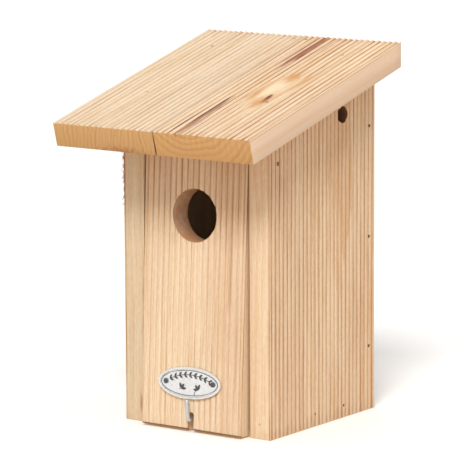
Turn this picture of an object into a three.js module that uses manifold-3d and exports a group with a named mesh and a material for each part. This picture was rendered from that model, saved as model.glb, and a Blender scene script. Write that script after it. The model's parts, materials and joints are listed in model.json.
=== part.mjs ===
// A nesting box of ridged solid-wood boards with a mono-pitch roof. The front panel swings up on two
// nails, and a screw hook in the floor's front edge keeps it shut. Millimetres, +Z up, the entrance
// faces -Y, and the origin is the middle of the box's base.

import * as THREE from 'three';
import { mergeVertices } from 'three/addons/utils/BufferGeometryUtils.js';
import Module from 'manifold-3d';

const wasm = await Module();
wasm.setup();

// Driving dimensions

// The box
const BOX_WIDTH = 108;                 // over the two side boards
const BOX_DEPTH = 112;                 // front to back edge of a side board
const FRONT_HEIGHT = 183;              // ground to the roof's underside above the front edges
const BOARD = 15;                      // thickness of every board, over its ridges
const RIDGE_PITCH = 4.15;              // spacing of the ridges on a board's outer face
const RIDGE_DEPTH = 0.8;               // how deep the grooves are between ridges
const EASED_EDGE = 0.5;                // small flat on a board's inner long edges
const FIT_GAP = 0.3;                   // between boards that meet

// The roof
const ROOF_SLOPE = THREE.MathUtils.degToRad(15);
const EAVE = 43;                       // overhang past the front edges, along the slope
const ROOF_SIDE_OVERHANG = 18;
const ROOF_SEAM = 2.2;                 // where the two roof boards meet, to the right of the middle

// The front panel
const PANEL_LEAN = THREE.MathUtils.degToRad(3.2);   // outwards at rest, against the floor's edge
const PANEL_RECESS = 1.6;              // its ridges behind the side boards' front edges, at the pivot
const PANEL_PIVOT_DROP = 17.8;         // pivot below the roof's underside at the front
const PANEL_PIVOT_INSET = 8.3;         // pivot behind the side boards' front edges
const PANEL_TOP_GAP = 2.5;             // panel's top edge below the front height
const PANEL_GROUND_GAP = 0.4;          // panel's bottom edge above the ground
const PANEL_LEFT_GAP = 0.8;            // between the panel and the left side board at the top
const PANEL_RIGHT_GAP = 1.9;           // between the panel and the right side board
const PANEL_TAPER = 2.2;               // how much narrower the panel is at the bottom, on the left
const PANEL_STOP_GAP = 0.3;            // between the panel's back and the floor's front edge at rest
const ENTRANCE_DIAMETER = 32;
const ENTRANCE_DROP = 35;              // entrance's centre below the pivot
const ENTRANCE_SIDE = -0.8;            // entrance's centre from the middle of the box

// Vents, one in each side board
const VENT_DIAMETER = 10;
const VENT_DROP = 16.7;                // centre below the roof's underside
const VENT_INSET = 35;                 // centre ahead of the side board's back edge

// The screw hook
const HOOK_WIRE = 2.6;
const HOOK_DEPTH = 22;                 // length screwed into the floor
const HOOK_ARM = 12.6;                 // shank's axis to the arm's tip
const HOOK_BEND = 2.6;                 // radius of the bend's centre line
const HOOK_SIDE = 0.3;                 // shank's axis from the middle of the box
const HOOK_TURN = THREE.MathUtils.degToRad(-4);   // how far the arm leans to the left at rest
const HOOK_CLEARANCE = 0.45;           // between the arm and the name plate's rim
const SLOT_CLEARANCE = 0.85;           // between the shank and the sides of the panel's slot
const SLOT_HEADROOM = 2.6;             // between the shank and the slot's round top
const THREAD_CLEARANCE = 0.3;

// The oval name plate
const PLATE_WIDTH = 46;
const PLATE_HEIGHT = 19.6;
const PLATE_SHEET = 0.8;
const PLATE_RIM_WIDTH = 1.5;
const PLATE_RIM_RISE = 0.6;
const PLATE_SEAT_GAP = 0.3;
const PLATE_SIDE = -0.5;               // centre from the middle of the box
const PLATE_OVERLAP = 0.7;             // how far the hook's arm reaches above the plate's lower edge
const PLATE_TURN = THREE.MathUtils.degToRad(2.5);
const PLATE_NAIL_SPREAD = 17.4;        // each nail from the plate's centre

// The hanger on the back board
const HANGER_WIDTH = 18;
const HANGER_HEIGHT = 44;
const HANGER_SHEET = 1.5;
const HANGER_SEAT_GAP = 0.3;
const HANGER_DROP = 40;                // centre below the roof's underside at the back
const HANGER_SCREW_SPREAD = 16.5;      // each screw from the hanger's centre
const KEYHOLE_HEAD = 9;
const KEYHOLE_NECK = 4.8;
const KEYHOLE_RISE = 9;                // centre of the round opening to the top of the neck's arc
const KEYHOLE_LOW = 5;                 // round opening's centre below the hanger's centre
const POCKET_WIDTH = 12;               // room behind the keyhole for the head of the wall's screw
const POCKET_DEPTH = 6;

// Nails and screws: shank and head radius, head height, length
const BRAD = { shank: 0.6, head: 0.85, headHeight: 0.8, length: 30 };
const ROOF_BRAD = { shank: 0.6, head: 0.85, headHeight: 0.8, length: 32 };
const PIVOT_NAIL = { shank: 0.9, head: 1.2, headHeight: 1, length: 30 };
const PLATE_NAIL = { shank: 0.6, head: 1.6, headHeight: 0.7, length: 9 };
const HANGER_SCREW = { shank: 1.5, head: 3, headHeight: 1.6, length: 12 };
const NAIL_CLEARANCE = 0.25;
const NAIL_SINK = 0.4;                 // head below the ridges
const POINT_LENGTH = 1.8;

const BACK_NAIL_INSET = 5.5;           // from the side board's back edge
const BACK_NAIL_LOW = 40;              // lowest back nail above the ground
const BACK_NAIL_DROP = 36;             // highest back nail below the roof's underside at the back
const FLOOR_NAIL_FRONT = -8.5;         // front floor nail from the middle of the depth
const FLOOR_NAIL_BACK = 22.5;          // back floor nail from the middle of the depth
const ROOF_NAIL_INSETS = {             // each roof nail from its side board's outer face
  left_front: 10.6,
  left_rear: 3.2,
  right_front: 8.8,
  right_rear: 7.1,
};
const ROOF_NAIL_FRONT = 10;            // front roof nails behind the front edges
const ROOF_NAIL_BACK = 25;             // rear roof nails ahead of the back edges
const ROOF_NAIL_MIDDLE_INSET = 5;      // middle roof nails ahead of the back board's outer face
const ROOF_NAIL_SEAM_OFFSET = 4.5;     // middle roof nails on each side of the seam

const ROUND_SIDES = 40;
const NAIL_SIDES = 10;
const REACH = 400;                     // longer than the whole box, for cutting tools

// Worked out from the dimensions above

const FRONT = -BOX_DEPTH / 2;
const BACK = BOX_DEPTH / 2;
const OUTER = BOX_WIDTH / 2;
const INNER = OUTER - BOARD;
const SLOPE_RISE = Math.tan(ROOF_SLOPE);
const PIVOT_Y = FRONT + PANEL_PIVOT_INSET;
const PIVOT_Z = FRONT_HEIGHT - PANEL_PIVOT_DROP;
const PANEL_FACE = PANEL_RECESS - PANEL_PIVOT_INSET;  // the ridges from the pivot, front being minus
const PANEL_BACK = PANEL_FACE + BOARD;
const HOOK_Z = BOARD / 2;
const BACK_NAIL_HIGH = roofUnderside(BACK) - BACK_NAIL_DROP;

function roofUnderside(y) {
  return FRONT_HEIGHT + (y - FRONT) * SLOPE_RISE;
}

// A point given from the pivot, in the upright panel's own directions, where it is on the leaning panel
function onLeaningPanel(y, z) {
  const sin = Math.sin(PANEL_LEAN);
  const cos = Math.cos(PANEL_LEAN);
  return { y: PIVOT_Y + y * cos + z * sin, z: PIVOT_Z - y * sin + z * cos };
}

// The panel's lowest point is its back bottom edge, which its lean turns down
const PANEL_BOTTOM = (PANEL_GROUND_GAP - PIVOT_Z + PANEL_BACK * Math.sin(PANEL_LEAN)) / Math.cos(PANEL_LEAN);
const PANEL_TOP = PANEL_PIVOT_DROP - PANEL_TOP_GAP;
const FLOOR_FRONT = onLeaningPanel(PANEL_BACK, BOARD - PIVOT_Z).y + PANEL_STOP_GAP;
const FLOOR_BACK = BACK - BOARD - FIT_GAP;
const ROOF_BACK = BACK + HANGER_SEAT_GAP + HANGER_SHEET;

// Materials

function finish(colour, roughness, metalness = 0) {
  return new THREE.MeshStandardMaterial({ color: colour, roughness, metalness });
}

const FINISHES = {
  wood: finish(0xe3bd8c, 0.75),
  panelWood: finish(0xe6c193, 0.75),
  roofWood: finish(0xd9ad74, 0.75),
  zinc: finish(0xc4c7ca, 0.38, 0.9),
  steel: finish(0x6b6660, 0.5, 0.8),
};

// Solids

function toSolid(geometry) {
  const bare = geometry.index ? geometry.toNonIndexed() : geometry.clone();
  for (const name of Object.keys(bare.attributes)) {
    if (name !== 'position') bare.deleteAttribute(name);
  }
  const merged = mergeVertices(bare, 1e-4);
  return new wasm.Manifold(new wasm.Mesh({
    numProp: 3,
    vertProperties: new Float32Array(merged.attributes.position.array),
    triVerts: new Uint32Array(merged.index.array),
  }));
}

function toGeometry(solid) {
  const { vertProperties, triVerts } = solid.getMesh();
  const geometry = new THREE.BufferGeometry();
  geometry.setAttribute('position', new THREE.BufferAttribute(new Float32Array(vertProperties), 3));
  geometry.setIndex(new THREE.BufferAttribute(new Uint32Array(triVerts), 1));
  geometry.computeVertexNormals();
  return geometry;
}

function cutAway(geometry, cutters) {
  if (cutters.length === 0) return geometry;
  let tool = toSolid(cutters[0]);
  for (const cutter of cutters.slice(1)) tool = tool.add(toSolid(cutter));
  return toGeometry(toSolid(geometry).subtract(tool));
}

// A cylinder from a point along a direction
function bore(radius, from, direction, length, sides = ROUND_SIDES) {
  const along = new THREE.Vector3(...direction).normalize();
  const middle = new THREE.Vector3(...from).addScaledVector(along, length / 2);
  const turn = new THREE.Quaternion().setFromUnitVectors(new THREE.Vector3(0, 1, 0), along);
  const cylinder = new THREE.CylinderGeometry(radius, radius, length, sides);
  return cylinder.applyQuaternion(turn).translate(middle.x, middle.y, middle.z);
}

// The hole a nail or screw sits in, from above its head to past its point
function nailHole(style, headTop, direction) {
  const into = new THREE.Vector3(...direction).normalize();
  const start = new THREE.Vector3(...headTop).addScaledVector(into, -BOARD / 2);
  const headLength = BOARD / 2 + style.headHeight + NAIL_CLEARANCE;
  return [
    bore(style.head + NAIL_CLEARANCE, start.toArray(), direction, headLength, NAIL_SIDES),
    bore(style.shank + NAIL_CLEARANCE, headTop, direction, style.length + NAIL_CLEARANCE, NAIL_SIDES),
  ];
}

// Everything above the roof's underside, less the fit gap
function aboveRoofLine() {
  const block = new THREE.BoxGeometry(REACH, REACH, REACH);
  block.translate(0, 0, REACH / 2 - FIT_GAP);
  block.rotateX(ROOF_SLOPE);
  return block.translate(0, FRONT, FRONT_HEIGHT);
}

// A board's end section: flat inside at y = 0, ridges outside up to y = BOARD, half a ridge at each edge
function ridgedSection(width) {
  const count = Math.round(width / RIDGE_PITCH);
  const pitch = width / count;
  const half = width / 2;
  const groove = BOARD - RIDGE_DEPTH;
  const section = new THREE.Shape();
  section.moveTo(-half + EASED_EDGE, 0);
  section.lineTo(half - EASED_EDGE, 0);
  section.lineTo(half, EASED_EDGE);
  section.lineTo(half, BOARD);
  section.quadraticCurveTo(half - pitch / 4, BOARD, half - pitch / 2, groove);
  for (let ridge = 1; ridge < count; ridge += 1) {
    const x = half + pitch / 2 - ridge * pitch;
    section.quadraticCurveTo(x - pitch / 2, BOARD + RIDGE_DEPTH, x - pitch, groove);
  }
  section.quadraticCurveTo(pitch / 4 - half, BOARD, -half, BOARD);
  section.lineTo(-half, EASED_EDGE);
  return section;
}

function placed(name, geometry, material, position, rotation = [0, 0, 0]) {
  const mesh = new THREE.Mesh(geometry, material);
  mesh.name = name;
  mesh.position.set(...position);
  mesh.rotation.set(...rotation);
  return mesh;
}

// A ridged board: its section's middle is at position, and its length runs along its own z.
// The cutters are given where they are on the box, or on the panel.
function board({ name, width, length, material, position, rotation, cutters = [] }) {
  const plank = new THREE.ExtrudeGeometry(ridgedSection(width), {
    depth: length,
    bevelEnabled: false,
    curveSegments: 3,
  });
  const mesh = placed(name, plank, material, position, rotation);
  mesh.updateMatrix();
  const toBoard = mesh.matrix.clone().invert();
  mesh.geometry = cutAway(plank, cutters.map((cutter) => cutter.applyMatrix4(toBoard)));
  return mesh;
}

// A round nail or screw whose head's top is at its own origin and whose point is down its own y
function fastener(style) {
  const { shank, head, headHeight, length } = style;
  return new THREE.LatheGeometry([
    new THREE.Vector2(0, -length),
    new THREE.Vector2(shank, -length + POINT_LENGTH),
    new THREE.Vector2(shank, -headHeight),
    new THREE.Vector2(head, -headHeight),
    new THREE.Vector2(head, -headHeight * 0.25),
    new THREE.Vector2(head * 0.8, 0),
    new THREE.Vector2(0, 0),
  ], NAIL_SIDES);
}

// Nails: where each one is and which way it points. The boards are drilled from the same list.

const HEAD_TOWARDS = {
  right: { rotation: [0, 0, -Math.PI / 2], into: [-1, 0, 0] },
  left: { rotation: [0, 0, Math.PI / 2], into: [1, 0, 0] },
  up: { rotation: [Math.PI / 2, 0, 0], into: [0, 0, -1] },
  front: { rotation: [Math.PI, 0, 0], into: [0, 1, 0] },
  back: { rotation: [0, 0, 0], into: [0, -1, 0] },
};

function sideFasteners() {
  const list = [];
  const backNails = { low: BACK_NAIL_LOW, middle: (BACK_NAIL_LOW + BACK_NAIL_HIGH) / 2, high: BACK_NAIL_HIGH };
  const floorNails = { front: FLOOR_NAIL_FRONT, back: FLOOR_NAIL_BACK };
  for (const [side, sign] of [['left', -1], ['right', 1]]) {
    const x = sign * (OUTER - NAIL_SINK);
    for (const [row, z] of Object.entries(backNails)) {
      const at = [x, BACK - BACK_NAIL_INSET, z];
      list.push({ name: `back_nail_${side}_${row}`, style: BRAD, at, head: side });
    }
    for (const [row, y] of Object.entries(floorNails)) {
      list.push({ name: `floor_nail_${side}_${row}`, style: BRAD, at: [x, y, BOARD / 2], head: side });
    }
    list.push({ name: `pivot_nail_${side}`, style: PIVOT_NAIL, at: [x, PIVOT_Y, PIVOT_Z], head: side });
  }
  return list;
}

function roofFasteners() {
  const middle = BACK - ROOF_NAIL_MIDDLE_INSET;
  const places = {
    left_middle: [ROOF_SEAM - ROOF_NAIL_SEAM_OFFSET, middle],
    right_middle: [ROOF_SEAM + ROOF_NAIL_SEAM_OFFSET, middle],
  };
  for (const [row, inset] of Object.entries(ROOF_NAIL_INSETS)) {
    const sign = row.startsWith('left') ? -1 : 1;
    const y = row.endsWith('front') ? FRONT + ROOF_NAIL_FRONT : BACK - ROOF_NAIL_BACK;
    places[row] = [sign * (OUTER - inset), y];
  }
  return Object.entries(places).map(([row, [x, y]]) => {
    const top = roofUnderside(y) + BOARD / Math.cos(ROOF_SLOPE);
    const at = [x, y, top - NAIL_SINK - ROOF_BRAD.head * SLOPE_RISE];
    return { name: `roof_nail_${row}`, style: ROOF_BRAD, at, head: 'up' };
  });
}

const SIDE_FASTENERS = sideFasteners();
const ROOF_FASTENERS = roofFasteners();

function holesFor(fasteners) {
  return fasteners.flatMap(({ style, at, head }) => nailHole(style, at, HEAD_TOWARDS[head].into));
}

function fastenerMesh({ name, style, at, head }, material) {
  return placed(name, fastener(style), material, at, HEAD_TOWARDS[head].rotation);
}

// The box

function sideBoard(side, sign) {
  const vent = [0, BACK - VENT_INSET, roofUnderside(BACK - VENT_INSET) - VENT_DROP];
  return board({
    name: `${side}_side_board`,
    width: BOX_DEPTH,
    length: roofUnderside(BACK),
    material: FINISHES.wood,
    position: [sign * INNER, 0, 0],
    rotation: [0, 0, -sign * Math.PI / 2],
    cutters: [
      aboveRoofLine(),
      bore(VENT_DIAMETER / 2, vent, [sign, 0, 0], BOX_WIDTH),
      ...holesFor(SIDE_FASTENERS.filter(({ head }) => head === side)),
      ...holesFor(ROOF_FASTENERS),
    ],
  });
}

// A slot with round ends, upright, cut along y
function uprightSlot(width, low, high, x, from, to) {
  const radius = width / 2;
  const outline = new THREE.Shape();
  outline.absarc(0, high, radius, 0, Math.PI);
  outline.absarc(0, low, radius, Math.PI, 2 * Math.PI);
  const slot = new THREE.ExtrudeGeometry(outline, { depth: to - from, bevelEnabled: false, curveSegments: 12 });
  return slot.rotateX(Math.PI / 2).translate(x, to, 0);
}

function hangerScrews() {
  const z = roofUnderside(BACK) - HANGER_DROP;
  const y = ROOF_BACK - NAIL_CLEARANCE;
  return [['upper', 1], ['lower', -1]].map(([row, sign]) => ({
    name: `hanger_screw_${row}`,
    style: HANGER_SCREW,
    at: [0, y, z + sign * HANGER_SCREW_SPREAD],
    head: 'back',
  }));
}

const HANGER_SCREWS = hangerScrews();

function backBoard() {
  const keyhole = roofUnderside(BACK) - HANGER_DROP - KEYHOLE_LOW;
  const pocketTop = keyhole + KEYHOLE_RISE;
  return board({
    name: 'back_board',
    width: 2 * (INNER - FIT_GAP),
    length: roofUnderside(BACK),
    material: FINISHES.wood,
    position: [0, BACK - BOARD, 0],
    rotation: [0, 0, 0],
    cutters: [
      aboveRoofLine(),
      uprightSlot(POCKET_WIDTH, keyhole, pocketTop, 0, BACK - POCKET_DEPTH, BACK + BOARD),
      ...holesFor(SIDE_FASTENERS),
      ...holesFor(ROOF_FASTENERS),
      ...holesFor(HANGER_SCREWS),
    ],
  });
}

function floorBoard() {
  const thread = HOOK_WIRE / 2 + THREAD_CLEARANCE;
  return board({
    name: 'floor_board',
    width: 2 * (INNER - FIT_GAP),
    length: FLOOR_BACK - FLOOR_FRONT,
    material: FINISHES.wood,
    position: [0, FLOOR_FRONT, 0],
    rotation: [Math.PI / 2, Math.PI, 0],
    cutters: [
      bore(thread, [HOOK_SIDE, FLOOR_FRONT - 1, HOOK_Z], [0, 1, 0], HOOK_DEPTH + 1 + THREAD_CLEARANCE, 16),
      ...holesFor(SIDE_FASTENERS),
    ],
  });
}

// The roof: two boards cut square to the slope at the eave and plumb at the back

function roofBoard(side, from, to) {
  const backFace = new THREE.BoxGeometry(REACH, REACH, REACH);
  backFace.translate(0, ROOF_BACK + REACH / 2, FRONT_HEIGHT);
  const cos = Math.cos(ROOF_SLOPE);
  const eave = [FRONT - EAVE * cos, FRONT_HEIGHT - EAVE * Math.sin(ROOF_SLOPE)];
  const width = to - from;
  return board({
    name: `roof_board_${side}`,
    width,
    length: (ROOF_BACK - eave[0] + BOARD) / cos,
    material: FINISHES.roofWood,
    position: [from + width / 2, ...eave],
    rotation: [Math.PI / 2 + ROOF_SLOPE, Math.PI, 0],
    cutters: [backFace, ...holesFor(ROOF_FASTENERS)],
  });
}

// The front panel and its name plate, in a group whose origin is the pivot

const HOOK_TIP = HOOK_Z + HOOK_ARM;
const PLATE_CENTRE = [PLATE_SIDE, HOOK_TIP - PIVOT_Z - PLATE_OVERLAP + PLATE_HEIGHT / 2];
const PLATE_BACK = PANEL_FACE - PLATE_SEAT_GAP;
const PLATE_FRONT = PLATE_BACK - PLATE_SHEET;

function plateNails() {
  return [['left', -1], ['right', 1]].map(([side, sign]) => ({
    name: `plate_nail_${side}`,
    style: PLATE_NAIL,
    at: [
      PLATE_CENTRE[0] + sign * PLATE_NAIL_SPREAD * Math.cos(PLATE_TURN),
      PLATE_FRONT - PLATE_NAIL.headHeight - NAIL_CLEARANCE,
      PLATE_CENTRE[1] + sign * PLATE_NAIL_SPREAD * Math.sin(PLATE_TURN),
    ],
    head: 'front',
  }));
}

// The wedge that the panel's left edge loses towards the bottom
function leftTaper(topEdge) {
  const wedge = new THREE.Shape([
    new THREE.Vector2(topEdge - BOARD, PANEL_TOP + 1),
    new THREE.Vector2(topEdge - BOARD, PANEL_BOTTOM - 1),
    new THREE.Vector2(topEdge + PANEL_TAPER, PANEL_BOTTOM - 1),
    new THREE.Vector2(topEdge, PANEL_TOP + 1),
  ]);
  const depth = 3 * BOARD;
  const solid = new THREE.ExtrudeGeometry(wedge, { depth, bevelEnabled: false });
  return solid.rotateX(Math.PI / 2).translate(0, depth / 2, 0);
}

function frontPanel() {
  const left = -INNER + PANEL_LEFT_GAP;
  const right = INNER - PANEL_RIGHT_GAP;
  const width = right - left;
  const hookHeight = HOOK_Z - PIVOT_Z;
  const slotTop = hookHeight + SLOT_HEADROOM - SLOT_CLEARANCE;
  const slotWidth = HOOK_WIRE + 2 * SLOT_CLEARANCE;
  const pivotBore = PIVOT_NAIL.shank + NAIL_CLEARANCE;
  const pivotDepth = PIVOT_NAIL.length + NAIL_CLEARANCE - BOARD;
  return board({
    name: 'front_panel',
    width,
    length: PANEL_TOP - PANEL_BOTTOM,
    material: FINISHES.panelWood,
    position: [left + width / 2, PANEL_BACK, PANEL_BOTTOM],
    rotation: [0, 0, Math.PI],
    cutters: [
      leftTaper(left),
      bore(ENTRANCE_DIAMETER / 2, [ENTRANCE_SIDE, -BOARD, -ENTRANCE_DROP], [0, 1, 0], 2 * BOARD + PANEL_BACK, 48),
      uprightSlot(slotWidth, PANEL_BOTTOM - BOARD, slotTop, HOOK_SIDE, PANEL_FACE - BOARD, PANEL_BACK + BOARD),
      bore(pivotBore, [-INNER, 0, 0], [1, 0, 0], pivotDepth, NAIL_SIDES),
      bore(pivotBore, [INNER, 0, 0], [-1, 0, 0], pivotDepth, NAIL_SIDES),
      ...holesFor(plateNails()),
    ],
  });
}

function oval(width, height) {
  const outline = new THREE.Shape();
  outline.absellipse(0, 0, width / 2, height / 2, 0, 2 * Math.PI);
  return outline;
}

function namePlate() {
  const sheet = new THREE.ExtrudeGeometry(oval(PLATE_WIDTH, PLATE_HEIGHT), {
    depth: PLATE_SHEET + PLATE_RIM_RISE,
    bevelEnabled: false,
    curveSegments: 24,
  });
  const inside = oval(PLATE_WIDTH - 2 * PLATE_RIM_WIDTH, PLATE_HEIGHT - 2 * PLATE_RIM_WIDTH);
  const dish = new THREE.ExtrudeGeometry(inside, { depth: BOARD, bevelEnabled: false, curveSegments: 24 });
  dish.translate(0, 0, PLATE_SHEET);
  const holes = [-1, 1].map((sign) => {
    const radius = PLATE_NAIL.shank + NAIL_CLEARANCE;
    return bore(radius, [sign * PLATE_NAIL_SPREAD, 0, -1], [0, 0, 1], BOARD, NAIL_SIDES);
  });
  const plate = cutAway(sheet, [dish, ...holes]);
  plate.rotateZ(PLATE_TURN).rotateX(Math.PI / 2);
  return placed('name_plate', plate, FINISHES.zinc, [PLATE_CENTRE[0], PLATE_BACK, PLATE_CENTRE[1]]);
}

function frontDoor() {
  const door = new THREE.Group();
  door.position.set(0, PIVOT_Y, PIVOT_Z);
  door.rotation.x = -PANEL_LEAN;
  door.add(frontPanel(), namePlate());
  for (const nail of plateNails()) door.add(fastenerMesh(nail, FINISHES.steel));
  return door;
}

// The screw hook: its origin is on the shank's axis at the floor's front edge

function screwHook() {
  const rim = onLeaningPanel(PLATE_FRONT - PLATE_RIM_RISE, HOOK_TIP - PIVOT_Z);
  const reach = FLOOR_FRONT - (rim.y - HOOK_CLEARANCE - HOOK_WIRE / 2);
  const corner = -reach;
  const path = new THREE.CurvePath();
  const shankEnd = new THREE.Vector3(0, corner + HOOK_BEND, 0);
  const armStart = new THREE.Vector3(0, corner, HOOK_BEND);
  path.add(new THREE.LineCurve3(new THREE.Vector3(0, HOOK_DEPTH, 0), shankEnd));
  path.add(new THREE.QuadraticBezierCurve3(shankEnd, new THREE.Vector3(0, corner, 0), armStart));
  path.add(new THREE.LineCurve3(armStart, new THREE.Vector3(0, corner, HOOK_ARM)));
  const wire = new THREE.Shape().absarc(0, 0, HOOK_WIRE / 2, 0, 2 * Math.PI);
  const geometry = new THREE.ExtrudeGeometry(wire, { steps: 36, extrudePath: path, curveSegments: 6 });
  return placed('latch_hook', geometry, FINISHES.zinc, [HOOK_SIDE, FLOOR_FRONT, HOOK_Z], [0, HOOK_TURN, 0]);
}

// The hanger: a plate with a keyhole and two countersunk screws

function hangerPlate() {
  const z = roofUnderside(BACK) - HANGER_DROP;
  const radius = HANGER_WIDTH / 2;
  const straight = HANGER_HEIGHT / 2 - radius;
  const blank = uprightSlot(HANGER_WIDTH, z - straight, z + straight, 0, ROOF_BACK - HANGER_SHEET, ROOF_BACK);
  const keyhole = z - KEYHOLE_LOW;
  const neckTop = keyhole + KEYHOLE_RISE - KEYHOLE_NECK / 2;
  const cutters = [
    bore(KEYHOLE_HEAD / 2, [0, BACK, keyhole], [0, 1, 0], BOARD),
    uprightSlot(KEYHOLE_NECK, keyhole, neckTop, 0, BACK, BACK + BOARD),
    ...holesFor(HANGER_SCREWS),
  ];
  return placed('hanger_plate', cutAway(blank, cutters), FINISHES.zinc, [0, 0, 0]);
}

// The whole nesting box

const birdhouse = new THREE.Group();
birdhouse.add(
  sideBoard('left', -1),
  sideBoard('right', 1),
  backBoard(),
  floorBoard(),
  roofBoard('left', -OUTER - ROOF_SIDE_OVERHANG, ROOF_SEAM - FIT_GAP / 2),
  roofBoard('right', ROOF_SEAM + FIT_GAP / 2, OUTER + ROOF_SIDE_OVERHANG),
  frontDoor(),
  screwHook(),
  hangerPlate(),
);
for (const nail of [...SIDE_FASTENERS, ...ROOF_FASTENERS]) birdhouse.add(fastenerMesh(nail, FINISHES.steel));
for (const screw of HANGER_SCREWS) birdhouse.add(fastenerMesh(screw, FINISHES.zinc));

export default birdhouse;
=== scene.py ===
"""A nesting box of ridged solid-wood boards, with a mono-pitch roof and a front panel that swings up.

Each operator makes one piece, or a group of like pieces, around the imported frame. Lengths are metres,
the entrance faces -Y, and the origin is the middle of the box's base. Positions come from the frame.
"""

import json
import math
import random

import bmesh
import bpy
from mathutils import Matrix, Vector, noise


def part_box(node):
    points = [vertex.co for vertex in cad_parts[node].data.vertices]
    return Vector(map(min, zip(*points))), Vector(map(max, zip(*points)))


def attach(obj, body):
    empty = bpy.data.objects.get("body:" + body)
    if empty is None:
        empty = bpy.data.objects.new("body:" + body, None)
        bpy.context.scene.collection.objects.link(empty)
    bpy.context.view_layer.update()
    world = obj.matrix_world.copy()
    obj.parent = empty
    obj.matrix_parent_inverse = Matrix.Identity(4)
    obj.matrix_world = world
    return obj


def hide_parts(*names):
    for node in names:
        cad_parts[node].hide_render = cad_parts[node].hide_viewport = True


bl_info = {
    "name": "Nesting box",
    "version": (1, 0, 0),
    "blender": (4, 5, 0),
    "location": "3D View > Sidebar > Nesting box",
    "description": "Makes a ridged wooden nesting box with a swing-up front",
    "category": "Object",
}

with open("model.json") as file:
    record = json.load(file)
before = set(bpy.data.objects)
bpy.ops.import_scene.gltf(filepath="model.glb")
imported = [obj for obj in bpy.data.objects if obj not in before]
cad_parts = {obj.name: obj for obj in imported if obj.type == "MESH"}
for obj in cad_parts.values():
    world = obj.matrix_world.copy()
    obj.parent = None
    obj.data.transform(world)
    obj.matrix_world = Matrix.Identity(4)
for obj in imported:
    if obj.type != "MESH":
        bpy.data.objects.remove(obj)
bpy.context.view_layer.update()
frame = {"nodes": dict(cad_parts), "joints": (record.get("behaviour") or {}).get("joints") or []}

MM = 0.001
FULL_TURN = 2 * math.pi

LEFT, RIGHT = Vector((-1, 0, 0)), Vector((1, 0, 0))
FORWARD, BACK = Vector((0, -1, 0)), Vector((0, 1, 0))
DOWN, UP = Vector((0, 0, -1)), Vector((0, 0, 1))

JOINTS = {joint["name"]: Vector(joint["pos_m"]) for joint in frame["joints"]}
PIVOT = JOINTS["front_panel_hinge"]
HOOK_AXIS = JOINTS["latch_turn"]

ROOF_SLOPE = math.radians(15)
ROOF_RISE = math.tan(ROOF_SLOPE)     # for each length towards the back
PANEL_LEAN = math.radians(3.2)
LEANING = Matrix.Rotation(-PANEL_LEAN, 3, "X")
SLOPING = Matrix.Rotation(ROOF_SLOPE, 3, "X")
PANEL_OUT, PANEL_UP = LEANING @ FORWARD, LEANING @ UP

# The mesh of a board
STRIPS_PER_RIDGE = 8
ROW_LENGTH = 8 * MM
CREST_POWER = 2.4                # how flat the ridges' tops are
WEAR = 0.1 * MM                  # how uneven the ridges' tops are
ARRIS = 0.25 * MM                # how rounded the sawn edges are
SHARP = math.radians(34)         # faces that meet at less are shaded smooth

# Holes
ENTRANCE_RADIUS = 16 * MM
ENTRANCE_SIDE = -0.8 * MM        # from the middle of the box
ENTRANCE_DROP = 35 * MM          # below the pivot
VENT_RADIUS = 5 * MM
VENT_INSET = 35 * MM             # ahead of the box's back
VENT_DROP = 16.7 * MM            # below the roof's underside
FRAY = 0.3 * MM                  # how far a hole's torn rim wanders outwards
PANEL_TAPER = 2.2 * MM           # how much narrower the panel is at its bottom
SLOT_RADIUS = 2.15 * MM
SLOT_HEADROOM = 1.75 * MM        # slot's round centre above the hook's shank
POCKET = (6 * MM, 6 * MM)        # radius and depth of the room behind the keyhole
KEYHOLE_LOW = 5 * MM             # round opening's centre below the hanger's centre
KEYHOLE_RISE = 9 * MM            # from there to the top of the neck
KEYHOLE_HEAD = 4.5 * MM          # radius of the round opening
KEYHOLE_NECK = 2.4 * MM          # half the neck's width

# Nails: radius of the shank and the head, the head's height and the length
NAIL_STYLES = {
    "brad": (0.6 * MM, 0.85 * MM, 0.8 * MM, 30 * MM),
    "roof": (0.6 * MM, 0.85 * MM, 0.8 * MM, 32 * MM),
    "pivot": (0.9 * MM, 1.2 * MM, 1.0 * MM, 30 * MM),
    "plate": (0.6 * MM, 1.6 * MM, 0.7 * MM, 9 * MM),
    "hanger": (1.5 * MM, 3.0 * MM, 1.6 * MM, 12 * MM),
}
NAIL_CLEARANCE = 0.1 * MM
HOLE_OVERRUN = 5 * MM            # how far a nail hole's cutter stands out of the wood
POINT_LENGTH = 1.8 * MM

# The latch
HOOK_RADIUS = 1.3 * MM           # of its wire
HOOK_BEND = 2.6 * MM             # radius of its bend
HOOK_DEPTH = 22 * MM             # into the floor board
HOOK_TURN = math.radians(-4)
THREAD_CLEARANCE = 0.3 * MM

# The name plate
PLATE_TURN = math.radians(2.5)
PLATE_SIZE = (46 * MM, 19.6 * MM)
PLATE_SHEET = 0.8 * MM

# Marks in the wood, in millimetres
THROUGH = 9000                   # half size of a mark that shows all along a bore


def colour_property(name, description, default):
    """A colour in the units the shaders use, from its red, green and blue out of 255."""
    linear = [((c / 255 + 0.055) / 1.055) ** 2.4 if c > 10 else c / 255 / 12.92 for c in default]
    return bpy.props.FloatVectorProperty(
        name=name, description=description, default=(*linear, 1.0), size=4, min=0, max=1, subtype="COLOR"
    )


class BoardSettings(bpy.types.PropertyGroup):
    """Sizes that every ridged board shares."""

    ridge_pitch: bpy.props.FloatProperty(
        name="Ridge pitch",
        description="Distance from one ridge to the next",
        default=4.15 * MM,
        min=1 * MM,
        unit="LENGTH",
    )
    ridge_depth: bpy.props.FloatProperty(
        name="Ridge depth",
        description="Depth of the grooves between the ridges",
        default=0.8 * MM,
        min=0,
        unit="LENGTH",
    )


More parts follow.
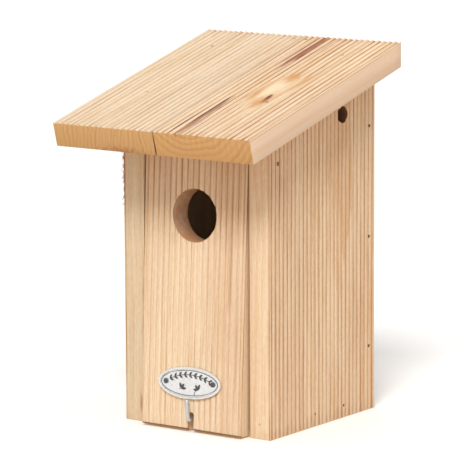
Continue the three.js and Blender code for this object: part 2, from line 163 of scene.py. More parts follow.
class WoodSettings(bpy.types.PropertyGroup):
    """Colours of the sawn wood."""

    pale: colour_property("Early wood", "Colour between the year rings", (230, 208, 181))
    late: colour_property("Late wood", "Colour of the year rings", (208, 163, 115))
    # Colour of the painted shade down in the grooves, and also of the darker end grain
    groove: colour_property("Grooves", "Colour down in the grooves", (172, 118, 70))
    end: colour_property("End grain", "Colour of the sawn ends", (217, 172, 114))
    streak: colour_property("Streak", "Colour of the reddish streaks", (150, 84, 56))
    # Also the colour of painted shade: in the vents' bores, in the roof's seam and along the front panel's
    # bottom edge
    knot: colour_property("Knot", "Colour of a knot's dark core", (96, 52, 34))


class MetalSettings(bpy.types.PropertyGroup):
    """Colours of the metal pieces."""

    zinc: colour_property("Zinc", "Colour of the plate, the latch and the hanger", (238, 239, 238))
    tarnish: colour_property("Tarnish", "Colour of the zinc's dull lines and spots", (86, 86, 92))
    nail: colour_property("Nails", "Colour of the nail heads", (108, 82, 62))
    rust: colour_property("Rust", "Colour of a rusty nail head", (168, 120, 84))


class StageSettings(bpy.types.PropertyGroup):
    """The pale floor and the light on it."""

    floor: colour_property("Floor", "Colour of the floor", (253, 253, 252))
    above: colour_property("From above", "Light from above the horizon", (224, 222, 220))
    below: colour_property("From below", "Light from below the horizon", (236, 213, 198))
    key: bpy.props.FloatProperty(
        name="Key light", description="Strength of the soft light in front", default=2.0, min=0
    )


# Nodes


class Nodes:
    """Adds nodes to one material or node group, and links them."""

    PER_ROW = 10
    SPACING = (190, 260)

    def __init__(self, tree):
        self.tree = tree

    def add(self, kind, inputs=(), **settings):
        node = self.tree.nodes.new(kind)
        row, column = divmod(len(self.tree.nodes) - 1, self.PER_ROW)
        node.location = (column * self.SPACING[0], -row * self.SPACING[1])
        for name, value in settings.items():
            setattr(node, name, value)
        for name, value in dict(inputs).items():
            self.feed(node.inputs[name], value)
        return node

    def feed(self, socket, value):
        if isinstance(value, bpy.types.NodeSocket):
            self.tree.links.new(value, socket)
        else:
            socket.default_value = value

    def math(self, operation, *values):
        return self.add("ShaderNodeMath", dict(enumerate(values)), operation=operation).outputs[0]

    def vector(self, operation, *values):
        node = self.add("ShaderNodeVectorMath", dict(enumerate(values)), operation=operation)
        return node.outputs["Value" if operation in ("LENGTH", "DOT_PRODUCT") else "Vector"]

    def scaled(self, vector, factor):
        return self.add("ShaderNodeVectorMath", {0: vector, "Scale": factor}, operation="SCALE").outputs[0]

    def blend(self, factor, a, b, mode="MIX"):
        inputs = {0: factor, 6: a, 7: b}
        return self.add("ShaderNodeMix", inputs, data_type="RGBA", blend_type=mode).outputs[2]

    def step(self, value, low, high):
        """0 below low, 1 above high, smooth between; low above high turns it round."""
        inputs = {"Value": value, "From Min": low, "From Max": high}
        return self.add("ShaderNodeMapRange", inputs, interpolation_type="SMOOTHSTEP").outputs[0]

    def noise(self, position, scale, detail=2.0, roughness=0.5):
        """Noise around 0.5, with its own scale along each axis."""
        place = self.vector("MULTIPLY", position, scale)
        inputs = {"Vector": place, "Scale": 1.0, "Detail": detail, "Roughness": roughness}
        return self.add("ShaderNodeTexNoise", inputs).outputs[0]

    def millimetres(self):
        """A point of the object, in millimetres."""
        return self.scaled(self.add("ShaderNodeTexCoord").outputs["Object"], 1 / MM)


def node_group(name, inputs, outputs):
    """The named group if it is there already, or else a new one with its Nodes to be filled in."""
    group = bpy.data.node_groups.get(name)
    if group:
        return group, None
    group = bpy.data.node_groups.new(name, "ShaderNodeTree")
    for direction, sockets in (("INPUT", inputs), ("OUTPUT", outputs)):
        for label, kind in sockets.items():
            group.interface.new_socket(label, in_out=direction, socket_type=f"NodeSocket{kind}")
    return group, Nodes(group)


def ring_group():
    """Year rings round a pith that runs along a board, in the board's own millimetres."""
    group, nodes = node_group(
        "Year rings",
        {"Position": "Vector", "Pith": "Vector", "Ring Width": "Float", "Seed": "Float"},
        {"Late": "Float", "Tone": "Float", "Fibre": "Float"},
    )
    if nodes is None:
        return group
    given = nodes.add("NodeGroupInput").outputs
    shift = nodes.scaled((13.1, 7.7, 91.3), given["Seed"])
    place = nodes.vector("ADD", given["Position"], shift)
    # A slow wander makes the straight rings wavy
    wander = nodes.noise(place, (0.035, 0.035, 0.006), detail=1.5)
    fine = nodes.noise(place, (0.35, 0.35, 0.02), detail=1.0)
    flat = nodes.vector("MULTIPLY", nodes.vector("SUBTRACT", given["Position"], given["Pith"]), (1, 1, 0))
    radius = nodes.math("MULTIPLY_ADD", wander, 13.0, nodes.vector("LENGTH", flat))
    radius = nodes.math("MULTIPLY_ADD", fine, 1.1, radius)
    rings = nodes.math("DIVIDE", radius, given["Ring Width"])
    phase = nodes.math("FRACT", rings)
    late = nodes.math("MULTIPLY", nodes.step(phase, 0.25, 0.86), nodes.step(phase, 1.0, 0.9))
    ring = nodes.math("FLOOR", rings)
    strength = nodes.add("ShaderNodeTexWhiteNoise", {"W": ring}, noise_dimensions="1D").outputs["Value"]
    late = nodes.math("MULTIPLY", late, nodes.math("MULTIPLY_ADD", strength, 0.75, 0.25))
    tone = nodes.noise(place, (0.03, 0.05, 0.004), detail=2.0)
    coarse = nodes.noise(place, (1.3, 1.3, 0.016), detail=3.0, roughness=0.6)
    thin = nodes.noise(place, (4.5, 4.5, 0.05), detail=2.0)
    fibre = nodes.math("ADD", nodes.math("MULTIPLY", coarse, 0.62), nodes.math("MULTIPLY", thin, 0.38))
    nodes.add("NodeGroupOutput", {"Late": late, "Tone": tone, "Fibre": fibre})
    return group


def mark_group():
    """A ragged oval mark in the wood, such as a knot, a streak or a resin spot."""
    group, nodes = node_group(
        "Mark in wood",
        {
            "Position": "Vector",
            "Centre": "Vector",
            "Size": "Vector",
            "Softness": "Float",
            "Raggedness": "Float",
            "Grain": "Vector",
        },
        {"Mask": "Float"},
    )
    if nodes is None:
        return group
    given = nodes.add("NodeGroupInput").outputs
    offset = nodes.vector("SUBTRACT", given["Position"], given["Centre"])
    reach = nodes.vector("LENGTH", nodes.vector("DIVIDE", offset, given["Size"]))
    ragged = nodes.noise(nodes.vector("MULTIPLY", given["Position"], given["Grain"]), (1, 1, 1), detail=3.0)
    ragged = nodes.math("MULTIPLY", nodes.math("SUBTRACT", ragged, 0.5), given["Raggedness"])
    reach = nodes.math("ADD", reach, ragged)
    inner = nodes.math("SUBTRACT", 1.0, given["Softness"])
    mask = nodes.add(
        "ShaderNodeMapRange",
        {"Value": reach, "From Min": inner, "From Max": 1.0, "To Min": 1.0, "To Max": 0.0},
        interpolation_type="SMOOTHSTEP",
    ).outputs[0]
    nodes.add("NodeGroupOutput", {"Mask": mask})
    return group


def sawn_group():
    """Colour, roughness and relief of a ridged board, from its rings and where its surface lies, with
    painted shade down in its grooves.
    """
    group, nodes = node_group(
        "Sawn board",
        {
            "Position": "Vector",
            "Outward": "Float",
            "Thickness": "Float",
            "Late": "Float",
            "Tone": "Float",
            "Fibre": "Float",
            "Contrast": "Float",
            "Groove": "Float",
            "Early Colour": "Color",
            "Late Colour": "Color",
            "Groove Colour": "Color",
            "End Colour": "Color",
            "End": "Float",
        },
        {"Color": "Color", "Roughness": "Float", "Height": "Float"},
    )
    if nodes is None:
        return group
    given = nodes.add("NodeGroupInput").outputs
    colour = nodes.blend(
        nodes.math("MULTIPLY", given["Late"], given["Contrast"]), given["Early Colour"], given["Late Colour"]
    )
    pink = nodes.step(given["Tone"], 0.38, 0.68)
    colour = nodes.blend(nodes.math("MULTIPLY", pink, 0.32), colour, given["Late Colour"])
    golden = nodes.blend(1.0, colour, (1.02, 0.995, 0.93, 1.0), mode="MULTIPLY")
    drift = nodes.step(given["Tone"], 0.52, 0.36)
    colour = nodes.blend(nodes.math("MULTIPLY", drift, 0.7), colour, golden)
    pores = nodes.step(given["Fibre"], 0.49, 0.66)
    colour = nodes.blend(nodes.math("MULTIPLY", pores, 0.72), colour, given["Late Colour"])
    bleached = nodes.step(given["Fibre"], 0.5, 0.33)
    lighter = nodes.blend(1.0, colour, (1.12, 1.12, 1.13, 1.0), mode="MULTIPLY")
    colour = nodes.blend(nodes.math("MULTIPLY", bleached, 0.5), colour, lighter)
    # Painted shade down in the grooves, in uneven patches
    below = nodes.math("SUBTRACT", given["Thickness"], given["Outward"])
    scratch = nodes.noise(given["Position"], (0.6, 0.6, 0.03), detail=3.0)
    below = nodes.math("MULTIPLY_ADD", nodes.math("SUBTRACT", scratch, 0.5), 0.35, below)
    groove = nodes.math("MULTIPLY", nodes.step(below, 0.22, 0.72), nodes.step(below, 1.6, 0.95))
    # Uneven patches of the painted groove shade
    patchy_groove_shade = nodes.step(nodes.noise(given["Position"], (0.3, 0.3, 0.02), detail=2.0), 0.35, 0.65)
    groove = nodes.math("MULTIPLY", groove, nodes.math("MULTIPLY_ADD", patchy_groove_shade, 0.8, 0.6))
    colour = nodes.blend(nodes.math("MULTIPLY", groove, given["Groove"]), colour, given["Groove Colour"])
    # End grain
    speckle = nodes.noise(given["Position"], (3.2, 3.2, 1.0), detail=3.0, roughness=0.65)
    speckled = nodes.math("MULTIPLY", nodes.step(speckle, 0.4, 0.7), 0.3)
    darker = nodes.math("MULTIPLY_ADD", given["Late"], 0.42, speckled)
    ends = nodes.blend(darker, given["End Colour"], given["Groove Colour"])
    colour = nodes.blend(given["End"], colour, ends)
    # Short flecks all over
    fleck = nodes.noise(given["Position"], (1.7, 1.7, 0.28), detail=2.0, roughness=0.6)
    level = nodes.blend(nodes.step(fleck, 0.33, 0.67), (0.95, 0.92, 0.88, 1.0), (1.03, 1.05, 1.08, 1.0))
    colour = nodes.blend(1.0, colour, level, mode="MULTIPLY")
    rough = nodes.math("MULTIPLY_ADD", given["Fibre"], 0.22, 0.56)
    height = nodes.math("MULTIPLY", given["Fibre"], nodes.math("SUBTRACT", 1.0, given["End"]))
    height = nodes.math("MULTIPLY_ADD", given["Late"], 0.12, height)
    height = nodes.math("MULTIPLY_ADD", nodes.math("MULTIPLY", speckle, given["End"]), 0.9, height)
    nodes.add("NodeGroupOutput", {"Color": colour, "Roughness": rough, "Height": height})
    return group


def new_material(name):
    material = bpy.data.materials.new(name)
    material.use_nodes = True
    material.node_tree.nodes.clear()
    return material, Nodes(material.node_tree)


def shade(nodes, colour, roughness, height=None, distance=0.1 * MM, strength=0.5, **constants):
    """A Principled shader on the material's output, with its unlinked sockets set to constants."""
    shader = nodes.add("ShaderNodeBsdfPrincipled", {"Base Color": colour, "Roughness": roughness})
    for name, value in constants.items():
        shader.inputs[name.replace("_", " ").title().replace("Ior", "IOR")].default_value = value
    if height is not None:
        bump = nodes.add("ShaderNodeBump", {"Height": height, "Distance": distance, "Strength": strength})
        nodes.feed(shader.inputs["Normal"], bump.outputs[0])
    nodes.add("ShaderNodeOutputMaterial", {"Surface": shader.outputs[0]})


def board_position(nodes, place):
    """A point in the board's own frame, in millimetres, and how far its face is end grain."""
    coordinates = nodes.add("ShaderNodeTexCoord").outputs
    mapping = nodes.add(
        "ShaderNodeMapping",
        {
            "Vector": coordinates["Object"],
            "Location": place.to_translation(),
            "Rotation": place.to_euler(),
            "Scale": (MM, MM, MM),
        },
        vector_type="TEXTURE",
    )
    grain = nodes.vector("DOT_PRODUCT", coordinates["Normal"], place.to_3x3().col[2])
    end = nodes.step(nodes.math("ABSOLUTE", grain), 0.6, 0.85)
    return mapping.outputs[0], end


def wood(name, place, thickness, pith, ring_width, seed, contrast=0.7, groove=0.5, tint=(1, 1, 1), marks=()):
    """A board's wood. The pith and the marks are given in the board's own frame, in millimetres.

    Each mark is its colour, how strong it is, its centre, its half sizes, its softness and its
    raggedness.
    """
    # groove sets how strong the painted shade down in the grooves is
    colours = bpy.context.scene.nesting_box_wood
    material, nodes = new_material(name)
    position, end = board_position(nodes, place)
    rings = nodes.add(
        "ShaderNodeGroup",
        {"Position": position, "Pith": (*pith, 0), "Ring Width": ring_width, "Seed": seed},
        node_tree=ring_group(),
    ).outputs
    sawn = nodes.add(
        "ShaderNodeGroup",
        {
            "Position": position,
            "Outward": nodes.add("ShaderNodeSeparateXYZ", {0: position}).outputs[1],
            "Thickness": thickness / MM,
            "Late": rings["Late"],
            "Tone": rings["Tone"],
            "Fibre": rings["Fibre"],
            "Contrast": contrast,
            "Groove": groove,
            "Early Colour": tinted(colours.pale, tint),
            "Late Colour": tinted(colours.late, tint),
            "Groove Colour": tinted(colours.groove, tint),
            "End Colour": tinted(colours.end, tint),
            "End": end,
        },
        node_tree=sawn_group(),
    ).outputs
    colour = sawn["Color"]
    for mark_colour, strength, centre, size, softness, raggedness in marks:
        mask = nodes.add(
            "ShaderNodeGroup",
            {
                "Position": position,
                "Centre": centre,
                "Size": size,
                "Softness": softness,
                "Raggedness": raggedness,
                "Grain": (0.45, 0.45, 0.06) if size[2] > 2 * size[0] else (0.35, 0.35, 0.2),
            },
            node_tree=mark_group(),
        ).outputs["Mask"]
        colour = nodes.blend(nodes.math("MULTIPLY", mask, strength), colour, mark_colour)
    shade(nodes, colour, sawn["Roughness"], sawn["Height"], 0.16 * MM, 0.55, specular_ior_level=0.3)
    return material


def bore_mark(colour, strength, place, hole, radius, softness):
    """A mark all along a hole through a board. Its radius is in millimetres."""
    middle = tuple(place.inverted() @ hole / MM)
    return colour, strength, middle, (radius, THROUGH, radius), softness, 0.0


def tinted(colour, tint):
    return (*(c * t for c, t in zip(colour, tint)), 1.0)


def zinc(name, level=1.0):
    """Zinc with a soft spangle, fine scratches and dull spots. A lower level makes it less bright."""
    colours = bpy.context.scene.nesting_box_metal
    material, nodes = new_material(name)
    place = nodes.millimetres()
    spangle = nodes.add("ShaderNodeTexVoronoi", {"Vector": place, "Scale": 0.7}).outputs["Color"]
    spangle = nodes.add("ShaderNodeSeparateColor", {0: spangle}).outputs[0]
    cloud = nodes.noise(place, (0.55, 0.55, 0.55), detail=4.0, roughness=0.65)
    scratch = nodes.noise(place, (0.5, 0.9, 9.0), detail=3.0)
    dull = nodes.step(cloud, 0.56, 0.72)
    bright = tinted(colours.zinc, (level, level, level))
    greyer = tinted(bright, (0.82, 0.83, 0.85))
    colour = nodes.blend(nodes.math("MULTIPLY", spangle, 0.5), bright, greyer)
    colour = nodes.blend(nodes.math("MULTIPLY", dull, 0.35), colour, tuple(colours.tarnish))
    rough = nodes.math("MULTIPLY_ADD", cloud, 0.3, nodes.math("MULTIPLY_ADD", spangle, 0.1, 0.24))
    height = nodes.math("MULTIPLY_ADD", scratch, 0.5, cloud)
    shade(nodes, colour, rough, height, 0.05 * MM, 0.35, metallic=0.85)
    return material


def steel(name, bare, rusty):
    """Dull dark steel with some rust."""
    material, nodes = new_material(name)
    place = nodes.millimetres()
    cloud = nodes.noise(place, (1.6, 1.6, 1.6), detail=4.0, roughness=0.7)
    rust = nodes.step(cloud, 0.5, 0.66)
    colour = nodes.blend(nodes.math("MULTIPLY", rust, rusty * 0.7), bare, (0.14, 0.06, 0.026, 1.0))
    rough = nodes.math("MULTIPLY_ADD", rust, 0.25, 0.42)
    shade(nodes, colour, rough, cloud, 0.08 * MM, 0.6, metallic=0.55)
    return material


# Meshes


def own_frame(outward, along):
    """The directions of a board as a matrix's columns: across it, out of its ridges, along its grain."""
    return Matrix((outward.cross(along), outward, along)).transposed()


def put(mesh, matrix):
    """Moves all of a mesh by a matrix."""
    bmesh.ops.transform(mesh, matrix=matrix, verts=mesh.verts)
    return mesh


def turn_round(mesh, angle, steps):
    """Spins all of a mesh round its Z axis."""
    bmesh.ops.spin(
        mesh,
        geom=mesh.verts[:] + mesh.edges[:],
        cent=(0, 0, 0),
        axis=(0, 0, 1),
        angle=angle,
        steps=steps,
        use_merge=angle == FULL_TURN,
    )


def close(mesh):
    """Fills the open ends of a mesh, and points its faces outwards."""
    bmesh.ops.holes_fill(mesh, edges=[edge for edge in mesh.edges if edge.is_boundary], sides=0)
    bmesh.ops.recalc_face_normals(mesh, faces=mesh.faces)


def place_of(node, outward, along):
    """A CAD board's own frame and its size in it: across, thick, long."""
    turn = own_frame(outward, along)
    points = [turn.transposed() @ vertex.co for vertex in frame["nodes"][node].data.vertices]
    low, high = Vector(map(min, zip(*points))), Vector(map(max, zip(*points)))
    origin = turn @ Vector(((low.x + high.x) / 2, low.y, low.z))
    return Matrix.Translation(origin) @ turn.to_4x4(), high - low


def divide(mesh, axis, count):
    """Cuts every edge along an axis into equal lengths."""
    edges = [
        edge
        for edge in mesh.edges
        if abs((edge.verts[0].co - edge.verts[1].co).normalized()[axis]) > 0.99
    ]
    bmesh.ops.subdivide_edges(mesh, edges=edges, cuts=count - 1, use_grid_fill=True)


def plank(size, seed, end=None, relief=None):
    """A ridged board in its own frame: x across, y from its flat face to its ridges, z along the grain.

    end gives the length at a point of its section, and relief how deep the grooves are at a place
    on its ridged face, from 0 to 1.
    """
    settings = bpy.context.scene.nesting_box_boards
    width, thickness, length = size
    ridges = round(width / settings.ridge_pitch)
    mesh = bmesh.new()
    stretch = Matrix.Diagonal((*size, 1))
    bmesh.ops.create_cube(mesh, size=1, matrix=Matrix.Translation((0, thickness / 2, length / 2)) @ stretch)
    divide(mesh, 0, ridges * STRIPS_PER_RIDGE)
    divide(mesh, 2, round(length / ROW_LENGTH))
    rims = [edge for edge in mesh.edges if edge.calc_face_angle() > 1]
    for vertex in mesh.verts:
        x, y, z = vertex.co
        if y > thickness / 2:
            ridge, across = divmod((x / width + 0.5) * ridges + 0.5, 1)
            groove = abs(2 * across - 1) ** CREST_POWER
            deep = relief(x, z) if relief else 1
            worn = 0.5 + 0.5 * noise.noise(Vector((ridge * 5.3 + seed, z / 0.03, seed)))
            vertex.co.y -= settings.ridge_depth * groove * deep + WEAR * worn * (1 - groove)
        if end:
            vertex.co.z *= end(x, vertex.co.y) / length
    bmesh.ops.bevel(
        mesh,
        geom=rims,
        offset=ARRIS,
        offset_type="OFFSET",
        segments=2,
        profile=0.5,
        affect="EDGES",
        clamp_overlap=False,
        material=-1,
    )
    return mesh


def turned(profile, sides, head, direction):
    """A solid of revolution. The profile is radius and depth from the head, along a direction."""
    mesh = bmesh.new()
    points = [mesh.verts.new((radius, 0, -depth)) for radius, depth in profile]
    for a, b in zip(points, points[1:]):
        mesh.edges.new((a, b))
    turn_round(mesh, FULL_TURN, sides)
    bmesh.ops.remove_doubles(mesh, verts=mesh.verts, dist=0.001 * MM)
    bmesh.ops.recalc_face_normals(mesh, faces=mesh.faces)
    turn = (-direction).to_track_quat("Z", "Y").to_matrix().to_4x4()
    return put(mesh, Matrix.Translation(head) @ turn)


def nail_profile(style, gap=0.0):
    """A nail's section: radius and depth below the top of its head. A gap makes it the nail's hole."""
    shank, head, head_height, length = NAIL_STYLES[style]
    if gap:
        return [
            (0, -HOLE_OVERRUN),
            (head + gap, -HOLE_OVERRUN),
            (head + gap, head_height + gap),
            (shank + gap, head_height + gap),
            (shank + gap, length + gap),
            (0, length + gap),
        ]
    return [
        (0, 0),
        (head * 0.45, head_height * 0.05),
        (head * 0.8, head_height * 0.2),
        (head * 0.97, head_height * 0.45),
        (head, head_height * 0.75),
        (head * 0.92, head_height),
        (shank, head_height),
        (shank, length - POINT_LENGTH),
        (0, length),
    ]


def nail_place(node):
    """Where a CAD nail's head is and which way it points, from its box and its name."""
    low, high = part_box(node)
    middle = (low + high) / 2
    if node.startswith("roof"):
        return Vector((middle.x, middle.y, high.z)), DOWN
    if node.startswith("hanger"):
        return Vector((middle.x, high.y, middle.z)), FORWARD
    if node.startswith("plate"):
        inwards = LEANING @ BACK
        points = [inwards.dot(vertex.co) for vertex in frame["nodes"][node].data.vertices]
        return middle + inwards * (min(points) - inwards.dot(middle)), inwards
    if middle.x < 0:
        return Vector((low.x, middle.y, middle.z)), RIGHT
    return Vector((high.x, middle.y, middle.z)), LEFT


def nails_named(*starts):
    return sorted(name for name in frame["nodes"] if name.startswith(starts))


def nail_style(node):
    kind = node.split("_")[0]
    return kind if kind in NAIL_STYLES else "brad"


def nail_hole(node):
    return turned(nail_profile(nail_style(node), NAIL_CLEARANCE), 16, *nail_place(node))


def torn(angle, along, lobes, length):
    """How torn a hole's wall is at an angle and a depth, from -1 to 1."""
    return noise.noise(Vector((math.cos(angle) * lobes, math.sin(angle) * lobes, along / length)))


def drum(radius, low, high, turn, middle, sides=64, fray=0.0, down=0.0, up=0.0):
    """A round or slot-shaped solid along its own y, from low to high, to cut a hole with."""
    mesh = bmesh.new()
    bmesh.ops.create_cone(
        mesh,
        cap_ends=True,
        segments=sides,
        radius1=radius,
        radius2=radius,
        depth=high - low,
        matrix=Matrix.Translation((0, (low + high) / 2, 0)) @ Matrix.Rotation(math.radians(90), 4, "X"),
    )
    if fray:
        divide(mesh, 1, 24)
    for vertex in mesh.verts:
        if vertex.co.z < -0.001 * MM:
            vertex.co.z -= down
        elif vertex.co.z > 0.001 * MM:
            vertex.co.z += up
        if fray:
            angle = math.atan2(vertex.co.z, vertex.co.x)
            rough = torn(angle, vertex.co.y, 4, 4 * MM) + 0.6 * torn(angle, vertex.co.y, 15, 2 * MM)
            grow = 1 + fray * (0.5 + 0.5 * rough) / radius
            vertex.co.x *= grow
            vertex.co.z *= grow
    return put(mesh, Matrix.Translation(middle) @ turn.to_4x4())


def to_object(name, mesh):
    data = bpy.data.meshes.new(name)
    mesh.to_mesh(data)
    mesh.free()
    made = bpy.data.objects.new(name, data)
    bpy.context.scene.collection.objects.link(made)
    return made


def merged(meshes):
    """One mesh that holds several."""
    whole = bmesh.new()
    for mesh in meshes:
        data = bpy.data.meshes.new("part")
        mesh.to_mesh(data)
        mesh.free()
        whole.from_mesh(data)
        bpy.data.meshes.remove(data)
    return whole


def carved(name, mesh, *rounds, solver="MANIFOLD"):
    """An object of the mesh, less what each round of cutters takes away.

    The mesh and the cutters are closed, and no two cutters of a round overlap. The exact solver gives
    the cleaner faces, but it can't be relied on for a board, whose fine rounded edges cross in places.
    """
    made = to_object(name, mesh)
    for cutters in rounds:
        whole = made.data
        tool = to_object("tool", merged(cutters))
        cut = made.modifiers.new("Holes", "BOOLEAN")
        cut.operation = "DIFFERENCE"
        cut.solver = solver
        cut.object = tool
        evaluated = made.evaluated_get(bpy.context.evaluated_depsgraph_get())
        made.data = bpy.data.meshes.new_from_object(evaluated)
        made.modifiers.clear()
        bpy.data.meshes.remove(whole)
        bpy.data.objects.remove(tool)
    made.data.name = name
    if not made.data.polygons:
        raise RuntimeError(f"cutting {name} left nothing of it")
    return made


def finished(piece, material, body, slot, *replaced):
    """Gives a piece its finish, and has it ride on its body in place of its CAD nodes."""
    piece.data.materials.clear()
    piece.data.materials.append(material)
    piece.data.shade_smooth()
    piece.data.set_sharp_from_angle(angle=SHARP)
    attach(piece, body)
    if replaced:
        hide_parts(*replaced)
    return piece


def roof_underside(y):
    """Height of the roof's underside above a place on the box's depth, from the CAD roof itself."""
    start = ROOF_PLACES["left"][0].to_translation()
    return start.z + (y - start.y) * ROOF_RISE


ROOF_PLACES = {
    side: place_of(f"roof_board_{side}", SLOPING @ UP, SLOPING @ BACK) for side in ("left", "right")
}
BOARD = ROOF_PLACES["left"][1].y
BOX_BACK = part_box("back_board")[1].y
PANEL_FRAME = own_frame(PANEL_OUT, PANEL_UP)
ENTRANCE = PIVOT + PANEL_FRAME @ Vector((-ENTRANCE_SIDE, 0, -ENTRANCE_DROP))


# Operators


class SideBoards(bpy.types.Operator):
    """Makes the left and the right side board, with their slanted tops, vents and nail holes"""

    bl_idname = "nesting_box.side_boards"
    bl_label = "Side boards"

    VENT_CUT = (25 * MM, 75 * MM)        # where a vent's cutter starts and ends, from the box's middle
    TINTS = {"left": (0.9, 0.95, 0.92), "right": (1.02, 1.03, 1.0)}

    def marks(self, side, colours):
        orange = (0.72, 0.36, 0.12, 1.0)
        brown = tuple(colours.streak)
        if side == "right":
            return [
                (orange, 0.8, (54.5, 12, 3), (2.6, 5, 3), 0.8, 1.2),
                (brown, 0.35, (55.5, 7, 9), (1, 1.2, 0.9), 0.5, 0.8),
                (brown, 0.3, (46, 15, 150), (1.2, 3, 32), 0.7, 1.0),
                (brown, 0.22, (38, 15, 120), (1.6, 3, 60), 0.8, 1.0),
            ]
        return [
            (brown, 0.55, (-56, 3.2, 11), (3, 1.4, 8), 0.8, 1.4),
            (brown, 0.3, (-56, 1, 60), (3, 1.2, 60), 0.9, 1.4),
            (brown, 0.5, (-56, 14.6, 155), (3, 1.2, 24), 0.8, 1.6),
        ]

    def execute(self, context):
        colours = context.scene.nesting_box_wood
        depth = BOX_BACK - VENT_INSET
        vent = Vector((0, depth, roof_underside(depth) - VENT_DROP))
        for side, outward in (("left", LEFT), ("right", RIGHT)):
            node = f"{side}_side_board"
            place, size = place_of(node, outward, UP)
            sign = outward.x

            def top(x, _y):
                return size.z - (size.x / 2 + sign * x) * ROOF_RISE

            mesh = put(plank(size, 3 + sign, end=top), place)
            nails = nails_named("back_nail_", "floor_nail_", "pivot_nail_")
            nails = [name for name in nails if side in name]
            nails += [name for name in nails_named(f"roof_nail_{side}") if "middle" not in name]
            holes = [drum(VENT_RADIUS, *self.VENT_CUT, own_frame(outward, UP), vent, 48, fray=FRAY / 2)]
            holes += [nail_hole(name) for name in nails]
            piece = carved(f"{side}_side_board_wood", mesh, holes)
            # Painted shade: the vent's bore wall is drawn dark brown, in the knot's colour
            bore = bore_mark(tuple(colours.knot), 0.85, place, vent, VENT_RADIUS / MM + 0.2, 0.02)
            material = wood(
                f"Wood of the {side} side board",
                place,
                size.y,
                pith=(sign * -18, 62),
                ring_width=3.4,
                seed=2.0 + sign,
                contrast=0.5,
                groove=0.62,
                tint=self.TINTS[side],
                marks=[*self.marks(side, colours), bore],
            )
            finished(piece, material, "box", "side_wood", node)
        return {"FINISHED"}


class BackBoard(bpy.types.Operator):
    """Makes the back board between the side boards, with the room behind the hanger's keyhole"""

    bl_idname = "nesting_box.back_board"
    bl_label = "Back board"

    def execute(self, context):
        place, size = place_of("back_board", BACK, UP)

        def top(_x, y):
            return size.z - (size.y - y) * ROOF_RISE

        mesh = put(plank(size, 11, end=top), place)
        low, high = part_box("hanger_plate")
        keyhole = Vector((0, BOX_BACK, (low.z + high.z) / 2 - KEYHOLE_LOW))
        radius, depth = POCKET
        holes = [drum(radius, -depth, BOARD, own_frame(BACK, UP), keyhole, 48, up=KEYHOLE_RISE)]
        holes += [nail_hole(name) for name in nails_named("back_nail_", "hanger_screw_")]
        piece = carved("back_board_wood", mesh, holes)
        material = wood(
            "Wood of the back board", place, size.y, pith=(22, 48), ring_width=3.0, seed=6.0, contrast=0.7
        )
        finished(piece, material, "box", "side_wood", "back_board")
        return {"FINISHED"}


class FloorBoard(bpy.types.Operator):
    """Makes the floor board, which the side nails and the latch's thread hold in"""

    bl_idname = "nesting_box.floor_board"
    bl_label = "Floor board"

    def execute(self, context):
        place, size = place_of("floor_board", UP, BACK)
        mesh = put(plank(size, 17), place)
        start, end = -1 * MM, HOOK_DEPTH + THREAD_CLEARANCE
        radius = HOOK_RADIUS + THREAD_CLEARANCE
        mouth = Vector((HOOK_AXIS.x, place.to_translation().y, HOOK_AXIS.z))
        holes = [turned([(0, start), (radius, start), (radius, end), (0, end)], 24, mouth, BACK)]
        holes += [nail_hole(name) for name in nails_named("floor_nail_")]
        piece = carved("floor_board_wood", mesh, holes)
        material = wood(
            "Wood of the floor board", place, size.y, pith=(-30, -34), ring_width=2.8, seed=9.0, contrast=0.7
        )
        finished(piece, material, "box", "side_wood", "floor_board")
        return {"FINISHED"}


